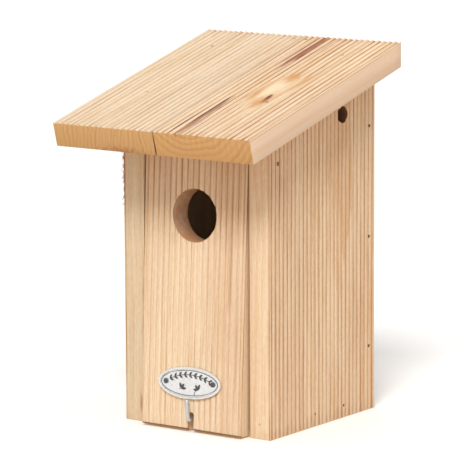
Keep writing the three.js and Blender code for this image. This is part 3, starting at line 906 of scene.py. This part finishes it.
class RoofBoards(bpy.types.Operator):
    """Makes the two roof boards, square at the eave and plumb at the back, one with a big knot"""

    bl_idname = "nesting_box.roof_boards"
    bl_label = "Roof boards"

    KNOT = (-1.5 * MM, 71 * MM)          # across and along the right board
    KNOT_FLAT = (13 * MM, 30 * MM)       # half the size of the place where the ridges fade round it
    KNOT_RELIEF = 0.12                   # of the grooves' depth, in the middle of that place
    KNOT_BLEND = (0.45, 0.75)            # where they start to deepen, and over how much of it
    LOOKS = {
        "left": {
            "pith": (95, 30),
            "ring_width": 2.6,
            "seed": 12.0,
            "contrast": 0.5,
            "groove": 0.55,
            "tint": (0.94, 0.99, 1.03),
        },
        "right": {
            "pith": (8, 44),
            "ring_width": 4.2,
            "seed": 15.0,
            "contrast": 0.5,
            "groove": 0.9,
            "tint": (0.97, 0.98, 0.98),
        },
    }

    def relief(self, x, z):
        start, stretch = self.KNOT_BLEND
        across, along = (x - self.KNOT[0]) / self.KNOT_FLAT[0], (z - self.KNOT[1]) / self.KNOT_FLAT[1]
        away = math.hypot(across, along) + 0.25 * noise.noise(Vector((x / 0.008, z / 0.02, 3)))
        return min(1, max(self.KNOT_RELIEF, (away - start) / stretch))

    def knot_marks(self, colours):
        """The knot with its orange and cream figure, and the dark streaks beside it."""
        cream = (0.84, 0.68, 0.46, 1.0)
        orange = (0.6, 0.29, 0.1, 1.0)
        greyish = (0.84, 0.65, 0.48, 1.0)
        streak, core = tuple(colours.streak), tuple(colours.knot)
        x, z = (value / MM for value in self.KNOT)
        return [
            (greyish, 0.6, (-35, 7, 80), (0.9, 12, 200), 0.3, 0.0),
            (streak, 0.75, (18.4, 15, 28), (1.9, 7, 38), 0.5, 0.9),
            (core, 0.9, (20.8, 15, 38), (0.75, 4, 36), 0.6, 0.9),
            (core, 0.85, (16.3, 15, 30), (0.6, 4, 36), 0.6, 0.9),
            (core, 0.7, (25.0, 15, 20), (0.6, 4, 30), 0.7, 0.9),
            (streak, 0.9, (19.0, 15, 141), (3.2, 7, 38), 0.45, 0.8),
            (core, 0.95, (23.0, 15, 142), (0.9, 4, 38), 0.6, 0.9),
            (core, 0.95, (16.2, 15, 138), (0.9, 4, 40), 0.6, 0.9),
            (core, 0.7, (12.4, 15, 118), (0.6, 4, 34), 0.7, 0.9),
            (orange, 0.75, (x + 3, 15, z + 4), (13, 9, 31), 0.6, 1.3),
            (cream, 0.9, (x + 2, 15, z + 5), (10, 9, 24), 0.7, 1.2),
            (orange, 0.8, (x + 9, 15, z - 4), (4, 7, 17), 0.9, 1.6),
            (orange, 0.7, (x - 2, 15, z - 14), (7, 7, 14), 0.9, 1.4),
            (orange, 0.85, (x + 1, 15, z + 26), (6, 7, 12), 0.9, 1.6),
            (orange, 0.7, (x - 9, 15, z + 14), (2.4, 7, 26), 0.9, 1.8),
            (streak, 0.75, (x - 3.5, 15, z - 9), (2.2, 7, 10), 0.7, 1.3),
            (core, 0.95, (x - 2.6, 15, z - 6), (1.5, 6, 5.5), 0.6, 1.4),
            (core, 0.7, (14.2, 15, 14), (0.5, 4, 26), 0.7, 0.9),
            (core, 0.6, (9.6, 15, 150), (0.5, 4, 26), 0.7, 0.9),
        ]

    def marks(self, side, width, colours):
        """Painted shade in the seam between the boards at their front ends, a faint brown line along the
        seam, and one board's knot or the other's stained end.
        """
        streak = tuple(colours.streak)
        seam = (width / 2 if side == "right" else -width / 2) / MM
        # Painted shade where the seam meets the front ends, and a faint brown line all along the seam
        seams = [
            (tuple(colours.knot), 0.9, (seam, 6, 0), (0.6, 14, 2.5), 0.8, 0.8),
            (streak, 0.25, (seam, 15, 80), (0.9, 14, 140), 0.7, 1.0),
        ]
        if side == "right":
            return [*self.knot_marks(colours), *seams]
        return [*seams, (streak, 0.55, (-12, 0, 0), (24, 4.5, 3), 0.9, 1.8)]

    def execute(self, context):
        for side, (place, size) in ROOF_PLACES.items():

            def rear(_x, y):
                return size.z - (size.y - y) * ROOF_RISE - ARRIS / 2

            relief = self.relief if side == "right" else None
            mesh = put(plank(size, 23 if side == "left" else 29, end=rear, relief=relief), place)
            holes = [nail_hole(name) for name in nails_named(f"roof_nail_{side}")]
            piece = carved(f"roof_board_{side}_wood", mesh, holes)
            marks = self.marks(side, size.x, context.scene.nesting_box_wood)
            material = wood(f"Wood of the {side} roof board", place, size.y, marks=marks, **self.LOOKS[side])
            finished(piece, material, "box", "roof_wood", f"roof_board_{side}")
        return {"FINISHED"}


class FrontPanel(bpy.types.Operator):
    """Makes the swing-up front panel, with its entrance and the slot over the latch"""

    bl_idname = "nesting_box.front_panel"
    bl_label = "Front panel"

    WORN_RELIEF = 0.62               # of the grooves' depth, below the entrance
    FRESH_FROM = (105 * MM, 135 * MM)    # where the grooves get their full depth back

    def relief(self, _x, z):
        low, high = self.FRESH_FROM
        return self.WORN_RELIEF + (1 - self.WORN_RELIEF) * min(1, max(0, (z - low) / (high - low)))

    def execute(self, context):
        place, size = place_of("front_panel", PANEL_OUT, PANEL_UP)
        mesh = plank(size, 31, relief=self.relief)
        bmesh.ops.bisect_plane(
            mesh,
            geom=mesh.verts[:] + mesh.edges[:] + mesh.faces[:],
            dist=0.001 * MM,
            plane_co=(size.x / 2, 0, size.z),
            plane_no=(size.z, 0, -PANEL_TAPER),
            clear_outer=True,
        )
        close(mesh)
        put(mesh, place)
        shank = PIVOT + PANEL_UP * (HOOK_AXIS.z - PIVOT.z + SLOT_HEADROOM) + RIGHT * HOOK_AXIS.x
        holes = [
            drum(ENTRANCE_RADIUS, -BOARD, BOARD, PANEL_FRAME, ENTRANCE, 96, fray=FRAY),
            drum(SLOT_RADIUS, -2 * BOARD, 2 * BOARD, PANEL_FRAME, shank, 32, down=BOARD),
        ]
        holes += [nail_hole(name) for name in nails_named("pivot_nail_", "plate_nail_")]
        piece = carved("front_panel_wood", mesh, holes)
        colours = context.scene.nesting_box_wood
        streak = tuple(colours.streak)
        pink = (0.7, 0.39, 0.24, 1.0)
        marks = [
            (streak, 0.3, (-27, 15, 95), (2.2, 4, 60), 0.9, 1.0),
            (streak, 0.25, (-33, 15, 60), (1.4, 4, 70), 0.9, 1.0),
            # Painted contact shadow: a dark line along the panel's bottom edge
            (tuple(colours.knot), 0.9, (0, 15, 0), (90, 2.5, 1.3), 0.6, 0.3),
            bore_mark(pink, 0.75, place, ENTRANCE, ENTRANCE_RADIUS / MM + 0.25, 0.01),
        ]
        material = wood(
            "Wood of the front panel",
            place,
            size.y,
            pith=(-48, 44),
            ring_width=3.2,
            seed=20.0,
            contrast=0.42,
            groove=0.62,
            tint=(1.01, 1.05, 1.05),
            marks=marks,
        )
        finished(piece, material, "front_door", "panel_wood", "front_panel")
        return {"FINISHED"}


class NamePlate(bpy.types.Operator):
    """Makes the oval plate with its beaded rim and a plain garland of leaves, and its two nails"""

    bl_idname = "nesting_box.name_plate"
    bl_label = "Name plate"

    # How far in and how far up each step of the rim and of the engraved line goes, in millimetres
    RIM_STEPS = (
        (0.15, 0.25),
        (0.35, 0.15),
        (0.45, 0),
        (0.3, -0.15),
        (0.25, -0.45),
        (0.45, 0),
        (0.12, -0.18),
        (0.22, 0),
        (0.12, 0.18),
    )
    RIM_START = 1.0 * MM
    LINE = (2.2 * MM, 0.012)             # from the edge, and its thickness over the plate's half width
    LEAF = (3.1 * MM, 1.35 * MM, 0.22 * MM)      # length, width and rise
    LEAF_SUNK = 0.05 * MM                # into the plate
    GARLAND_RADIUS = 34 * MM
    GARLAND_TOP = 5.0 * MM
    GARLAND_HALF_ANGLE = math.radians(25)
    GARLAND_PAIRS = 9
    GARLAND_SPREAD = math.radians(42)    # between a leaf and the stem
    SPRIGS = ((-6.0 * MM, -3.6 * MM, 55), (6.5 * MM, -3.8 * MM, 125))    # place, and lean in degrees
    SPRIG_SPREAD = math.radians(52)      # between one leaf and the next
    SPRIG_STEM = (3 * MM, math.radians(70))      # radius and turn of its arc

    def thickened(self, mesh, rise):
        """Raises a flat shape into a solid, and gives its top face."""
        raised = bmesh.ops.extrude_face_region(mesh, geom=mesh.faces[:])["geom"]
        corners = [part for part in raised if isinstance(part, bmesh.types.BMVert)]
        bmesh.ops.translate(mesh, vec=(0, 0, rise), verts=corners)
        return [part for part in raised if isinstance(part, bmesh.types.BMFace)]

    def oval(self):
        """The plate itself, with its rim and the line engraved inside it."""
        mesh = bmesh.new()
        width, height = PLATE_SIZE
        shape = Matrix.Diagonal((width / 2, height / 2, 1, 1))
        bmesh.ops.create_circle(mesh, cap_ends=True, segments=128, radius=1, matrix=shape)
        top = self.thickened(mesh, self.RIM_START)
        bmesh.ops.recalc_face_normals(mesh, faces=mesh.faces)
        for inwards, upwards in self.RIM_STEPS:
            bmesh.ops.inset_region(
                mesh, faces=top, thickness=inwards * MM, depth=upwards * MM, use_even_offset=True
            )
        return mesh

    def leaf(self, at, angle, size):
        """A raised leaf that starts at a point of the plate and points along an angle."""
        length, width, rise = (value * size for value in self.LEAF)
        mesh = bmesh.new()
        bmesh.ops.create_circle(mesh, cap_ends=True, segments=20, radius=1)
        for vertex in mesh.verts:
            x, y, _ = vertex.co
            vertex.co.x = (x + 1) / 2 * length
            vertex.co.y = y * abs(y) ** 0.5 * width / 2
        top = self.thickened(mesh, rise)
        bmesh.ops.inset_region(
            mesh, faces=top, thickness=width * 0.16, depth=rise * 0.4, use_even_offset=True
        )
        bmesh.ops.recalc_face_normals(mesh, faces=mesh.faces)
        foot = Matrix.Translation((*at, PLATE_SHEET - self.LEAF_SUNK))
        return put(mesh, foot @ Matrix.Rotation(angle, 4, "Z"))

    def stem(self, centre, radius, start, turn, thickness):
        """A thin raised stem along an arc."""
        mesh = bmesh.new()
        upright = Matrix.Translation((radius, 0, 0)) @ Matrix.Rotation(math.pi / 2, 4, "X")
        section = Matrix.Rotation(start, 4, "Z") @ upright
        bmesh.ops.create_circle(mesh, segments=8, radius=thickness, matrix=section)
        turn_round(mesh, turn, 20)
        close(mesh)
        return put(mesh, Matrix.Translation((*centre, PLATE_SHEET)))

    def rim_line(self):
        """A dark line along the inside of the rim."""
        inwards, thickness = self.LINE
        width, height = PLATE_SIZE
        mesh = bmesh.new()
        section = Matrix.Translation((1, 0, 0)) @ Matrix.Rotation(math.pi / 2, 4, "X")
        bmesh.ops.create_circle(mesh, segments=8, radius=thickness, matrix=section)
        turn_round(mesh, FULL_TURN, 96)
        bmesh.ops.recalc_face_normals(mesh, faces=mesh.faces)
        shape = Matrix.Diagonal((width / 2 - inwards, height / 2 - inwards, width / 2, 1))
        return put(mesh, Matrix.Translation((0, 0, PLATE_SHEET)) @ shape)

    def garland(self):
        """All that is raised on the plate: the line, the garland and the sprigs."""
        radius, half = self.GARLAND_RADIUS, self.GARLAND_HALF_ANGLE
        centre = Vector((0, self.GARLAND_TOP - radius))
        parts = [self.rim_line(), self.stem(centre, radius, math.pi / 2 - half, 2 * half, 0.24 * MM)]
        for pair in range(self.GARLAND_PAIRS):
            angle = math.pi / 2 + half * (1 - 2 * pair / (self.GARLAND_PAIRS - 1))
            at = centre + radius * Vector((math.cos(angle), math.sin(angle)))
            for side in (-1, 1):
                parts.append(self.leaf(at, angle - math.pi / 2 + side * self.GARLAND_SPREAD, 0.9))
        bend, turn = self.SPRIG_STEM
        for x, y, lean in self.SPRIGS:
            way = math.radians(lean)
            for side in (-1, 0, 1):
                parts.append(self.leaf((x, y), way + side * self.SPRIG_SPREAD, 1.15))
            parts.append(self.stem((x, y - bend), bend, way, turn, 0.2 * MM))
        return merged(parts)

    def execute(self, context):
        place, size = place_of("name_plate", PANEL_OUT, PANEL_UP)
        centre = place.to_translation() + PANEL_UP * size.z / 2
        turn = Matrix((RIGHT, PANEL_UP, PANEL_OUT)).transposed().to_4x4()
        whole = Matrix.Translation(centre) @ turn @ Matrix.Rotation(PLATE_TURN, 4, "Z")
        nails = nails_named("plate_nail_")
        holes = [nail_hole(name) for name in nails]
        piece = carved("name_plate_zinc", put(self.oval(), whole), holes, solver="EXACT")
        finished(piece, zinc("Zinc of the name plate"), "front_door", "zinc", "name_plate")
        dark = tuple(context.scene.nesting_box_metal.tarnish)
        leaves = to_object("name_plate_leaves", put(self.garland(), whole))
        finished(leaves, steel("Tarnished leaves", dark, 0.25), "front_door", "zinc")
        material = steel("Dark steel", dark, 0.35)
        for node in nails:
            nail = to_object(f"{node}_steel", turned(nail_profile("plate"), 28, *nail_place(node)))
            finished(nail, material, "front_door", "dark_steel", node)
        return {"FINISHED"}


class LatchHook(bpy.types.Operator):
    """Makes the bent screw hook that keeps the front panel shut"""

    bl_idname = "nesting_box.latch_hook"
    bl_label = "Latch hook"

    THREAD_PITCH = 1.3 * MM
    THREAD_ROOT = 0.74               # of the wire's radius
    THREAD_STEPS = ((0.42, 0.98), (0.16, 0.98), (0.42, THREAD_ROOT))     # of the pitch, of the radius
    POINT = 0.15                     # of the wire's radius
    SHANK_START = 1.5 * MM           # thread ends this far inside the floor's edge
    RUN_OUT = 0.6 * MM
    TIP_HEIGHT = 0.5 * MM
    TIP_STEPS = ((0.25 * MM, 0.9), (0.15 * MM, 0.72))    # rise, and share of the radius

    def execute(self, context):
        low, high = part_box("latch_hook")
        front = place_of("floor_board", UP, BACK)[0].to_translation().y
        corner = low.y + HOOK_RADIUS - front
        mesh = bmesh.new()
        end = Matrix.Translation((0, HOOK_DEPTH, 0)) @ Matrix.Rotation(math.pi / 2, 4, "X")
        bmesh.ops.create_circle(
            mesh, cap_ends=True, segments=20, radius=HOOK_RADIUS * self.POINT, matrix=end
        )
        ring = [edge for edge in mesh.edges if edge.is_boundary]
        ring = self.draw_out(mesh, ring, -2 * self.THREAD_PITCH, self.THREAD_ROOT)
        for _ in range(int((HOOK_DEPTH - self.SHANK_START) / self.THREAD_PITCH) - 2):
            for share, radius in self.THREAD_STEPS:
                ring = self.draw_out(mesh, ring, -self.THREAD_PITCH * share, radius)
        ring = self.draw_out(mesh, ring, -self.RUN_OUT, 1)
        at = sum(vertex.co.y for vertex in ring[0].verts) / 2
        ring = self.draw_out(mesh, ring, corner + HOOK_BEND - at, 1)
        corners = list(dict.fromkeys(vertex for edge in ring for vertex in edge.verts))
        bend = bmesh.ops.spin(
            mesh,
            geom=ring + corners,
            cent=(0, corner + HOOK_BEND, HOOK_BEND),
            axis=(1, 0, 0),
            angle=-math.pi / 2,
            steps=10,
        )["geom_last"]
        ring = [part for part in bend if isinstance(part, bmesh.types.BMEdge)]
        arm = high.z - HOOK_AXIS.z - HOOK_BEND - self.TIP_HEIGHT
        for rise, radius in ((arm, 1), *self.TIP_STEPS):
            ring = self.draw_out(mesh, ring, rise, radius, axis=2)
        close(mesh)
        lean = Matrix.Rotation(HOOK_TURN, 4, "Y")
        put(mesh, Matrix.Translation((HOOK_AXIS.x, front, HOOK_AXIS.z)) @ lean)
        piece = to_object("latch_hook_zinc", mesh)
        # Painted shade: the latch's zinc is drawn darker than the plate's
        finished(piece, zinc("Zinc of the latch", 0.72), "latch", "zinc", "latch_hook")
        return {"FINISHED"}

    def draw_out(self, mesh, ring, move, radius, axis=1):
        """Draws a ring on along an axis, to a share of the wire's radius, and gives the new ring."""
        made = bmesh.ops.extrude_edge_only(mesh, edges=ring)["geom"]
        corners = [part for part in made if isinstance(part, bmesh.types.BMVert)]
        centre = sum((vertex.co for vertex in corners), Vector()) / len(corners)
        for vertex in corners:
            vertex.co = centre + (vertex.co - centre).normalized() * HOOK_RADIUS * radius
            vertex.co[axis] += move
        edges = [part for part in made if isinstance(part, bmesh.types.BMEdge)]
        return [edge for edge in edges if all(vertex in corners for vertex in edge.verts)]


class Hanger(bpy.types.Operator):
    """Makes the keyhole plate on the back, and its two cross-headed screws"""

    bl_idname = "nesting_box.hanger"
    bl_label = "Hanger"

    EDGE = 0.25 * MM
    RECESS = (0.8 * MM, 3.4 * MM, 1.0 * MM)      # width, length and depth of the screws' cross
    RECESS_TURNS = (math.radians(20), math.radians(110))

    def execute(self, context):
        low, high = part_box("hanger_plate")
        middle = (low + high) / 2
        face = Vector((middle.x, low.y, middle.z))
        turn = own_frame(BACK, UP)
        radius, straight = (high.x - low.x) / 2, (high.z - low.z - high.x + low.x) / 2
        sheet = drum(radius, 0, high.y - low.y, turn, face, 64, down=straight, up=straight)
        keyhole = face - UP * KEYHOLE_LOW
        opening = drum(KEYHOLE_HEAD, -BOARD, BOARD, turn, keyhole, 48)
        neck = drum(KEYHOLE_NECK, -BOARD, BOARD, turn, keyhole, 32, up=KEYHOLE_RISE - KEYHOLE_NECK)
        screws = nails_named("hanger_screw_")
        holes = [nail_hole(name) for name in screws]
        piece = carved("hanger_plate_zinc", sheet, [opening], [neck, *holes], solver="EXACT")
        rounding = piece.modifiers.new("Rounded edges", "BEVEL")
        rounding.width = self.EDGE
        rounding.segments = 3
        rounding.limit_method = "ANGLE"
        finished(piece, zinc("Zinc of the hanger"), "box", "zinc", "hanger_plate")
        material = zinc("Zinc of the screws")
        for node in screws:
            head, into = nail_place(node)
            screw = turned(nail_profile("hanger"), 40, head, into)
            cross = [[self.slab(head, angle)] for angle in self.RECESS_TURNS]
            piece = carved(f"{node}_zinc", screw, *cross, solver="EXACT")
            finished(piece, material, "box", "zinc", node)
        return {"FINISHED"}

    def slab(self, head, angle):
        """A flat cutter for one arm of a screw's cross."""
        width, length, depth = self.RECESS
        mesh = bmesh.new()
        shape = Matrix.Rotation(angle, 4, "Y") @ Matrix.Diagonal((length, 2 * depth, width, 1))
        bmesh.ops.create_cube(mesh, size=1, matrix=Matrix.Translation(head) @ shape)
        return mesh


class TornFibres(bpy.types.Operator):
    """Makes the torn wood fibres along the left board's front edge and round the entrance's rim"""

    bl_idname = "nesting_box.torn_fibres"
    bl_label = "Torn fibres"

    SEED = 7
    EDGE_COUNT = 170
    EDGE_HEIGHTS = (122, 178, 168)       # lowest, highest and most usual, in millimetres
    EDGE_LENGTHS = (1.5 * MM, 6.0 * MM)
    RIM_COUNT = 60
    RIM_LENGTHS = (0.5 * MM, 1.5 * MM)
    RIM_DEPTH = 0.5 * MM                 # behind the tops of the ridges
    RIM_OVERLAP = 0.1 * MM               # of a fibre's root with the wood
    RIM_FINER = 0.7                      # than the edge's fibres
    THICKNESS = (0.1 * MM, 0.28 * MM)

    def sliver(self, root, way, length, thickness):
        """A pointed fibre that starts a little inside the wood and stands out along a way."""
        mesh = bmesh.new()
        bmesh.ops.create_cone(
            mesh, cap_ends=True, segments=5, radius1=thickness, radius2=thickness * 0.1, depth=length
        )
        bmesh.ops.translate(mesh, vec=(0, 0, length * 0.4), verts=mesh.verts)
        turn = way.normalized().to_track_quat("Z", "Y").to_matrix().to_4x4()
        return put(mesh, Matrix.Translation(root) @ turn)

    def edge_fibres(self, draw):
        low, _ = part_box("left_side_board")
        fibres = []
        for _ in range(self.EDGE_COUNT):
            height = draw.triangular(*self.EDGE_HEIGHTS) * MM
            root = Vector((low.x + draw.uniform(0, 0.4) * MM, low.y + draw.uniform(0.2, 3) * MM, height))
            aside, ahead = draw.uniform(0.25, 1), draw.uniform(-0.1, 0.35)
            way = Vector((-aside, -ahead, draw.choice((-1, -1, 1)) * draw.uniform(0.6, 1.8)))
            length, thickness = draw.uniform(*self.EDGE_LENGTHS), draw.uniform(*self.THICKNESS)
            fibres.append(self.sliver(root, way, length, thickness))
        return merged(fibres)

    def rim_fibres(self, draw):
        place, size = place_of("front_panel", PANEL_OUT, PANEL_UP)
        ahead = PANEL_OUT.dot(place.to_translation() - ENTRANCE) + size.y - self.RIM_DEPTH
        centre = ENTRANCE + PANEL_OUT * ahead
        fibres = []
        for _ in range(self.RIM_COUNT):
            angle = draw.uniform(0, FULL_TURN)
            out = PANEL_FRAME @ Vector((math.cos(angle), 0, math.sin(angle)))
            root = centre + out * (ENTRANCE_RADIUS + self.RIM_OVERLAP)
            way = PANEL_OUT * draw.uniform(0.1, 0.5) - out * draw.uniform(0.2, 0.8)
            way += PANEL_UP * draw.uniform(-1, 1)
            length, thickness = draw.uniform(*self.RIM_LENGTHS), draw.uniform(*self.THICKNESS)
            fibres.append(self.sliver(root, way, length, thickness * self.RIM_FINER))
        return merged(fibres)

    def execute(self, context):
        draw = random.Random(self.SEED)
        edge = to_object("edge_fibres", self.edge_fibres(draw))
        finished(edge, self.fibre_wood("Torn edge", 0.55), "box", "side_wood")
        rim = to_object("entrance_fibres", self.rim_fibres(draw))
        finished(rim, self.fibre_wood("Torn rim", 0.2), "front_door", "panel_wood")
        return {"FINISHED"}

    def fibre_wood(self, name, brown):
        """Loose fibres of late wood. The browner they are, the more of them is the streak's colour."""
        colours = bpy.context.scene.nesting_box_wood
        material, nodes = new_material(name)
        place = nodes.millimetres()
        cloud = nodes.noise(place, (1.1, 1.1, 0.5), detail=3.0)
        dark = nodes.step(cloud, 0.62 - brown * 0.3, 0.78 - brown * 0.3)
        colour = nodes.blend(nodes.math("MULTIPLY", dark, 0.9), tuple(colours.late), tuple(colours.streak))
        shade(nodes, colour, 0.8, cloud, 0.05 * MM, 0.5, specular_ior_level=0.2)
        return material


class Nails(bpy.types.Operator):
    """Makes the nails that hold the boards, and the two that the front panel swings on"""

    bl_idname = "nesting_box.nails"
    bl_label = "Nails"

    def execute(self, context):
        colours = context.scene.nesting_box_metal
        dull = steel("Dull steel", tuple(colours.nail), 0.6)
        rusty = steel("Rusty steel", tuple(colours.rust), 0.9)
        for node in nails_named("back_nail_", "floor_nail_", "pivot_nail_", "roof_nail_"):
            style = nail_style(node)
            nail = to_object(f"{node}_steel", turned(nail_profile(style), 20, *nail_place(node)))
            finished(nail, rusty if style == "pivot" else dull, "box", "nail_steel", node)
        return {"FINISHED"}


class Stage(bpy.types.Operator):
    """Makes the pale floor, the soft light and the camera"""

    bl_idname = "nesting_box.stage"
    bl_label = "Stage"

    FLOOR_SIZE = 12.0
    FLOOR_GAP = 0.1 * MM
    KEY_AT = Vector((1.12, -2.45, 2.75))
    KEY_ANGLE = math.radians(19)         # a wide, soft light
    CAMERA_AT = (1.1402, -1.6085, 0.4367)
    CAMERA_AIM = (-0.01436, 0.004, 0.10941)
    CAMERA_ROLL = math.radians(-0.27)
    CAMERA_LENS = 250.4

    def execute(self, context):
        scene = context.scene
        settings = scene.nesting_box_stage
        ground = bmesh.new()
        bmesh.ops.create_grid(ground, x_segments=1, y_segments=1, size=self.FLOOR_SIZE / 2)
        bmesh.ops.translate(ground, vec=(0, 0, -self.FLOOR_GAP), verts=ground.verts)
        floor = to_object("floor", ground)
        material, nodes = new_material("Pale floor")
        shade(nodes, tuple(settings.floor), 0.7, specular_ior_level=0.2)
        floor.data.materials.append(material)
        # The light from below is the world's, so the floor sends none to the box
        floor.visible_diffuse = False
        scene.world = self.surround(settings)

        light = bpy.data.lights.new("Key", "SUN")
        light.angle = self.KEY_ANGLE
        light.energy = settings.key
        key = bpy.data.objects.new("Key", light)
        key.matrix_world = Matrix.LocRotScale(self.KEY_AT, (-self.KEY_AT).to_track_quat("-Z", "Y"), None)
        scene.collection.objects.link(key)

        lens = bpy.data.cameras.new("Camera")
        lens.lens = self.CAMERA_LENS
        lens.sensor_width = 36
        lens.clip_end = 50
        camera = bpy.data.objects.new("Camera", lens)
        aim = (Vector(self.CAMERA_AIM) - Vector(self.CAMERA_AT)).to_track_quat("-Z", "Y")
        roll = Matrix.Rotation(self.CAMERA_ROLL, 4, "Z")
        camera.matrix_world = Matrix.Translation(self.CAMERA_AT) @ aim.to_matrix().to_4x4() @ roll
        scene.collection.objects.link(camera)
        scene.camera = camera
        scene.view_settings.view_transform = "Standard"
        return {"FINISHED"}

    def surround(self, settings):
        """Light from all round, weaker and warmer from below the horizon."""
        world = bpy.data.worlds.new("Studio")
        world.use_nodes = True
        world.node_tree.nodes.clear()
        nodes = Nodes(world.node_tree)
        direction = nodes.add("ShaderNodeTexCoord").outputs["Generated"]
        height = nodes.add("ShaderNodeSeparateXYZ", {0: direction}).outputs[2]
        raised = nodes.step(height, -0.08, 0.12)
        colour = nodes.blend(raised, tuple(settings.below), tuple(settings.above))
        background = nodes.add("ShaderNodeBackground", {"Color": colour, "Strength": 1.0})
        nodes.add("ShaderNodeOutputWorld", {"Surface": background.outputs[0]})
        return world


class SidebarPanel(bpy.types.Panel):
    """Lists the nesting box's settings and the pieces it is made of"""

    bl_idname = "VIEW3D_PT_nesting_box"
    bl_label = "Nesting box"
    bl_space_type = "VIEW_3D"
    bl_region_type = "UI"
    bl_category = "Nesting box"

    def draw(self, context):
        for name in SETTINGS:
            column = self.layout.column()
            group = getattr(context.scene, name)
            for prop in group.bl_rna.properties:
                if not prop.is_readonly and prop.identifier != "name":
                    column.prop(group, prop.identifier)
        column = self.layout.column(align=True)
        for operator in OPERATORS:
            column.operator(operator.bl_idname)


SETTINGS = {
    "nesting_box_boards": BoardSettings,
    "nesting_box_wood": WoodSettings,
    "nesting_box_metal": MetalSettings,
    "nesting_box_stage": StageSettings,
}
OPERATORS = (
    Stage,
    SideBoards,
    BackBoard,
    FloorBoard,
    RoofBoards,
    FrontPanel,
    NamePlate,
    LatchHook,
    Hanger,
    Nails,
    TornFibres,
)


def register():
    for name, settings in SETTINGS.items():
        bpy.utils.register_class(settings)
        setattr(bpy.types.Scene, name, bpy.props.PointerProperty(type=settings))
    for item in (*OPERATORS, SidebarPanel):
        bpy.utils.register_class(item)


def unregister():
    for item in reversed((*OPERATORS, SidebarPanel)):
        bpy.utils.unregister_class(item)
    for name, settings in SETTINGS.items():
        delattr(bpy.types.Scene, name)
        bpy.utils.unregister_class(settings)


def main():
    register()
    for operator in OPERATORS:
        getattr(bpy.ops.nesting_box, operator.bl_idname.split(".")[1])()


if __name__ == "__main__":
    main()
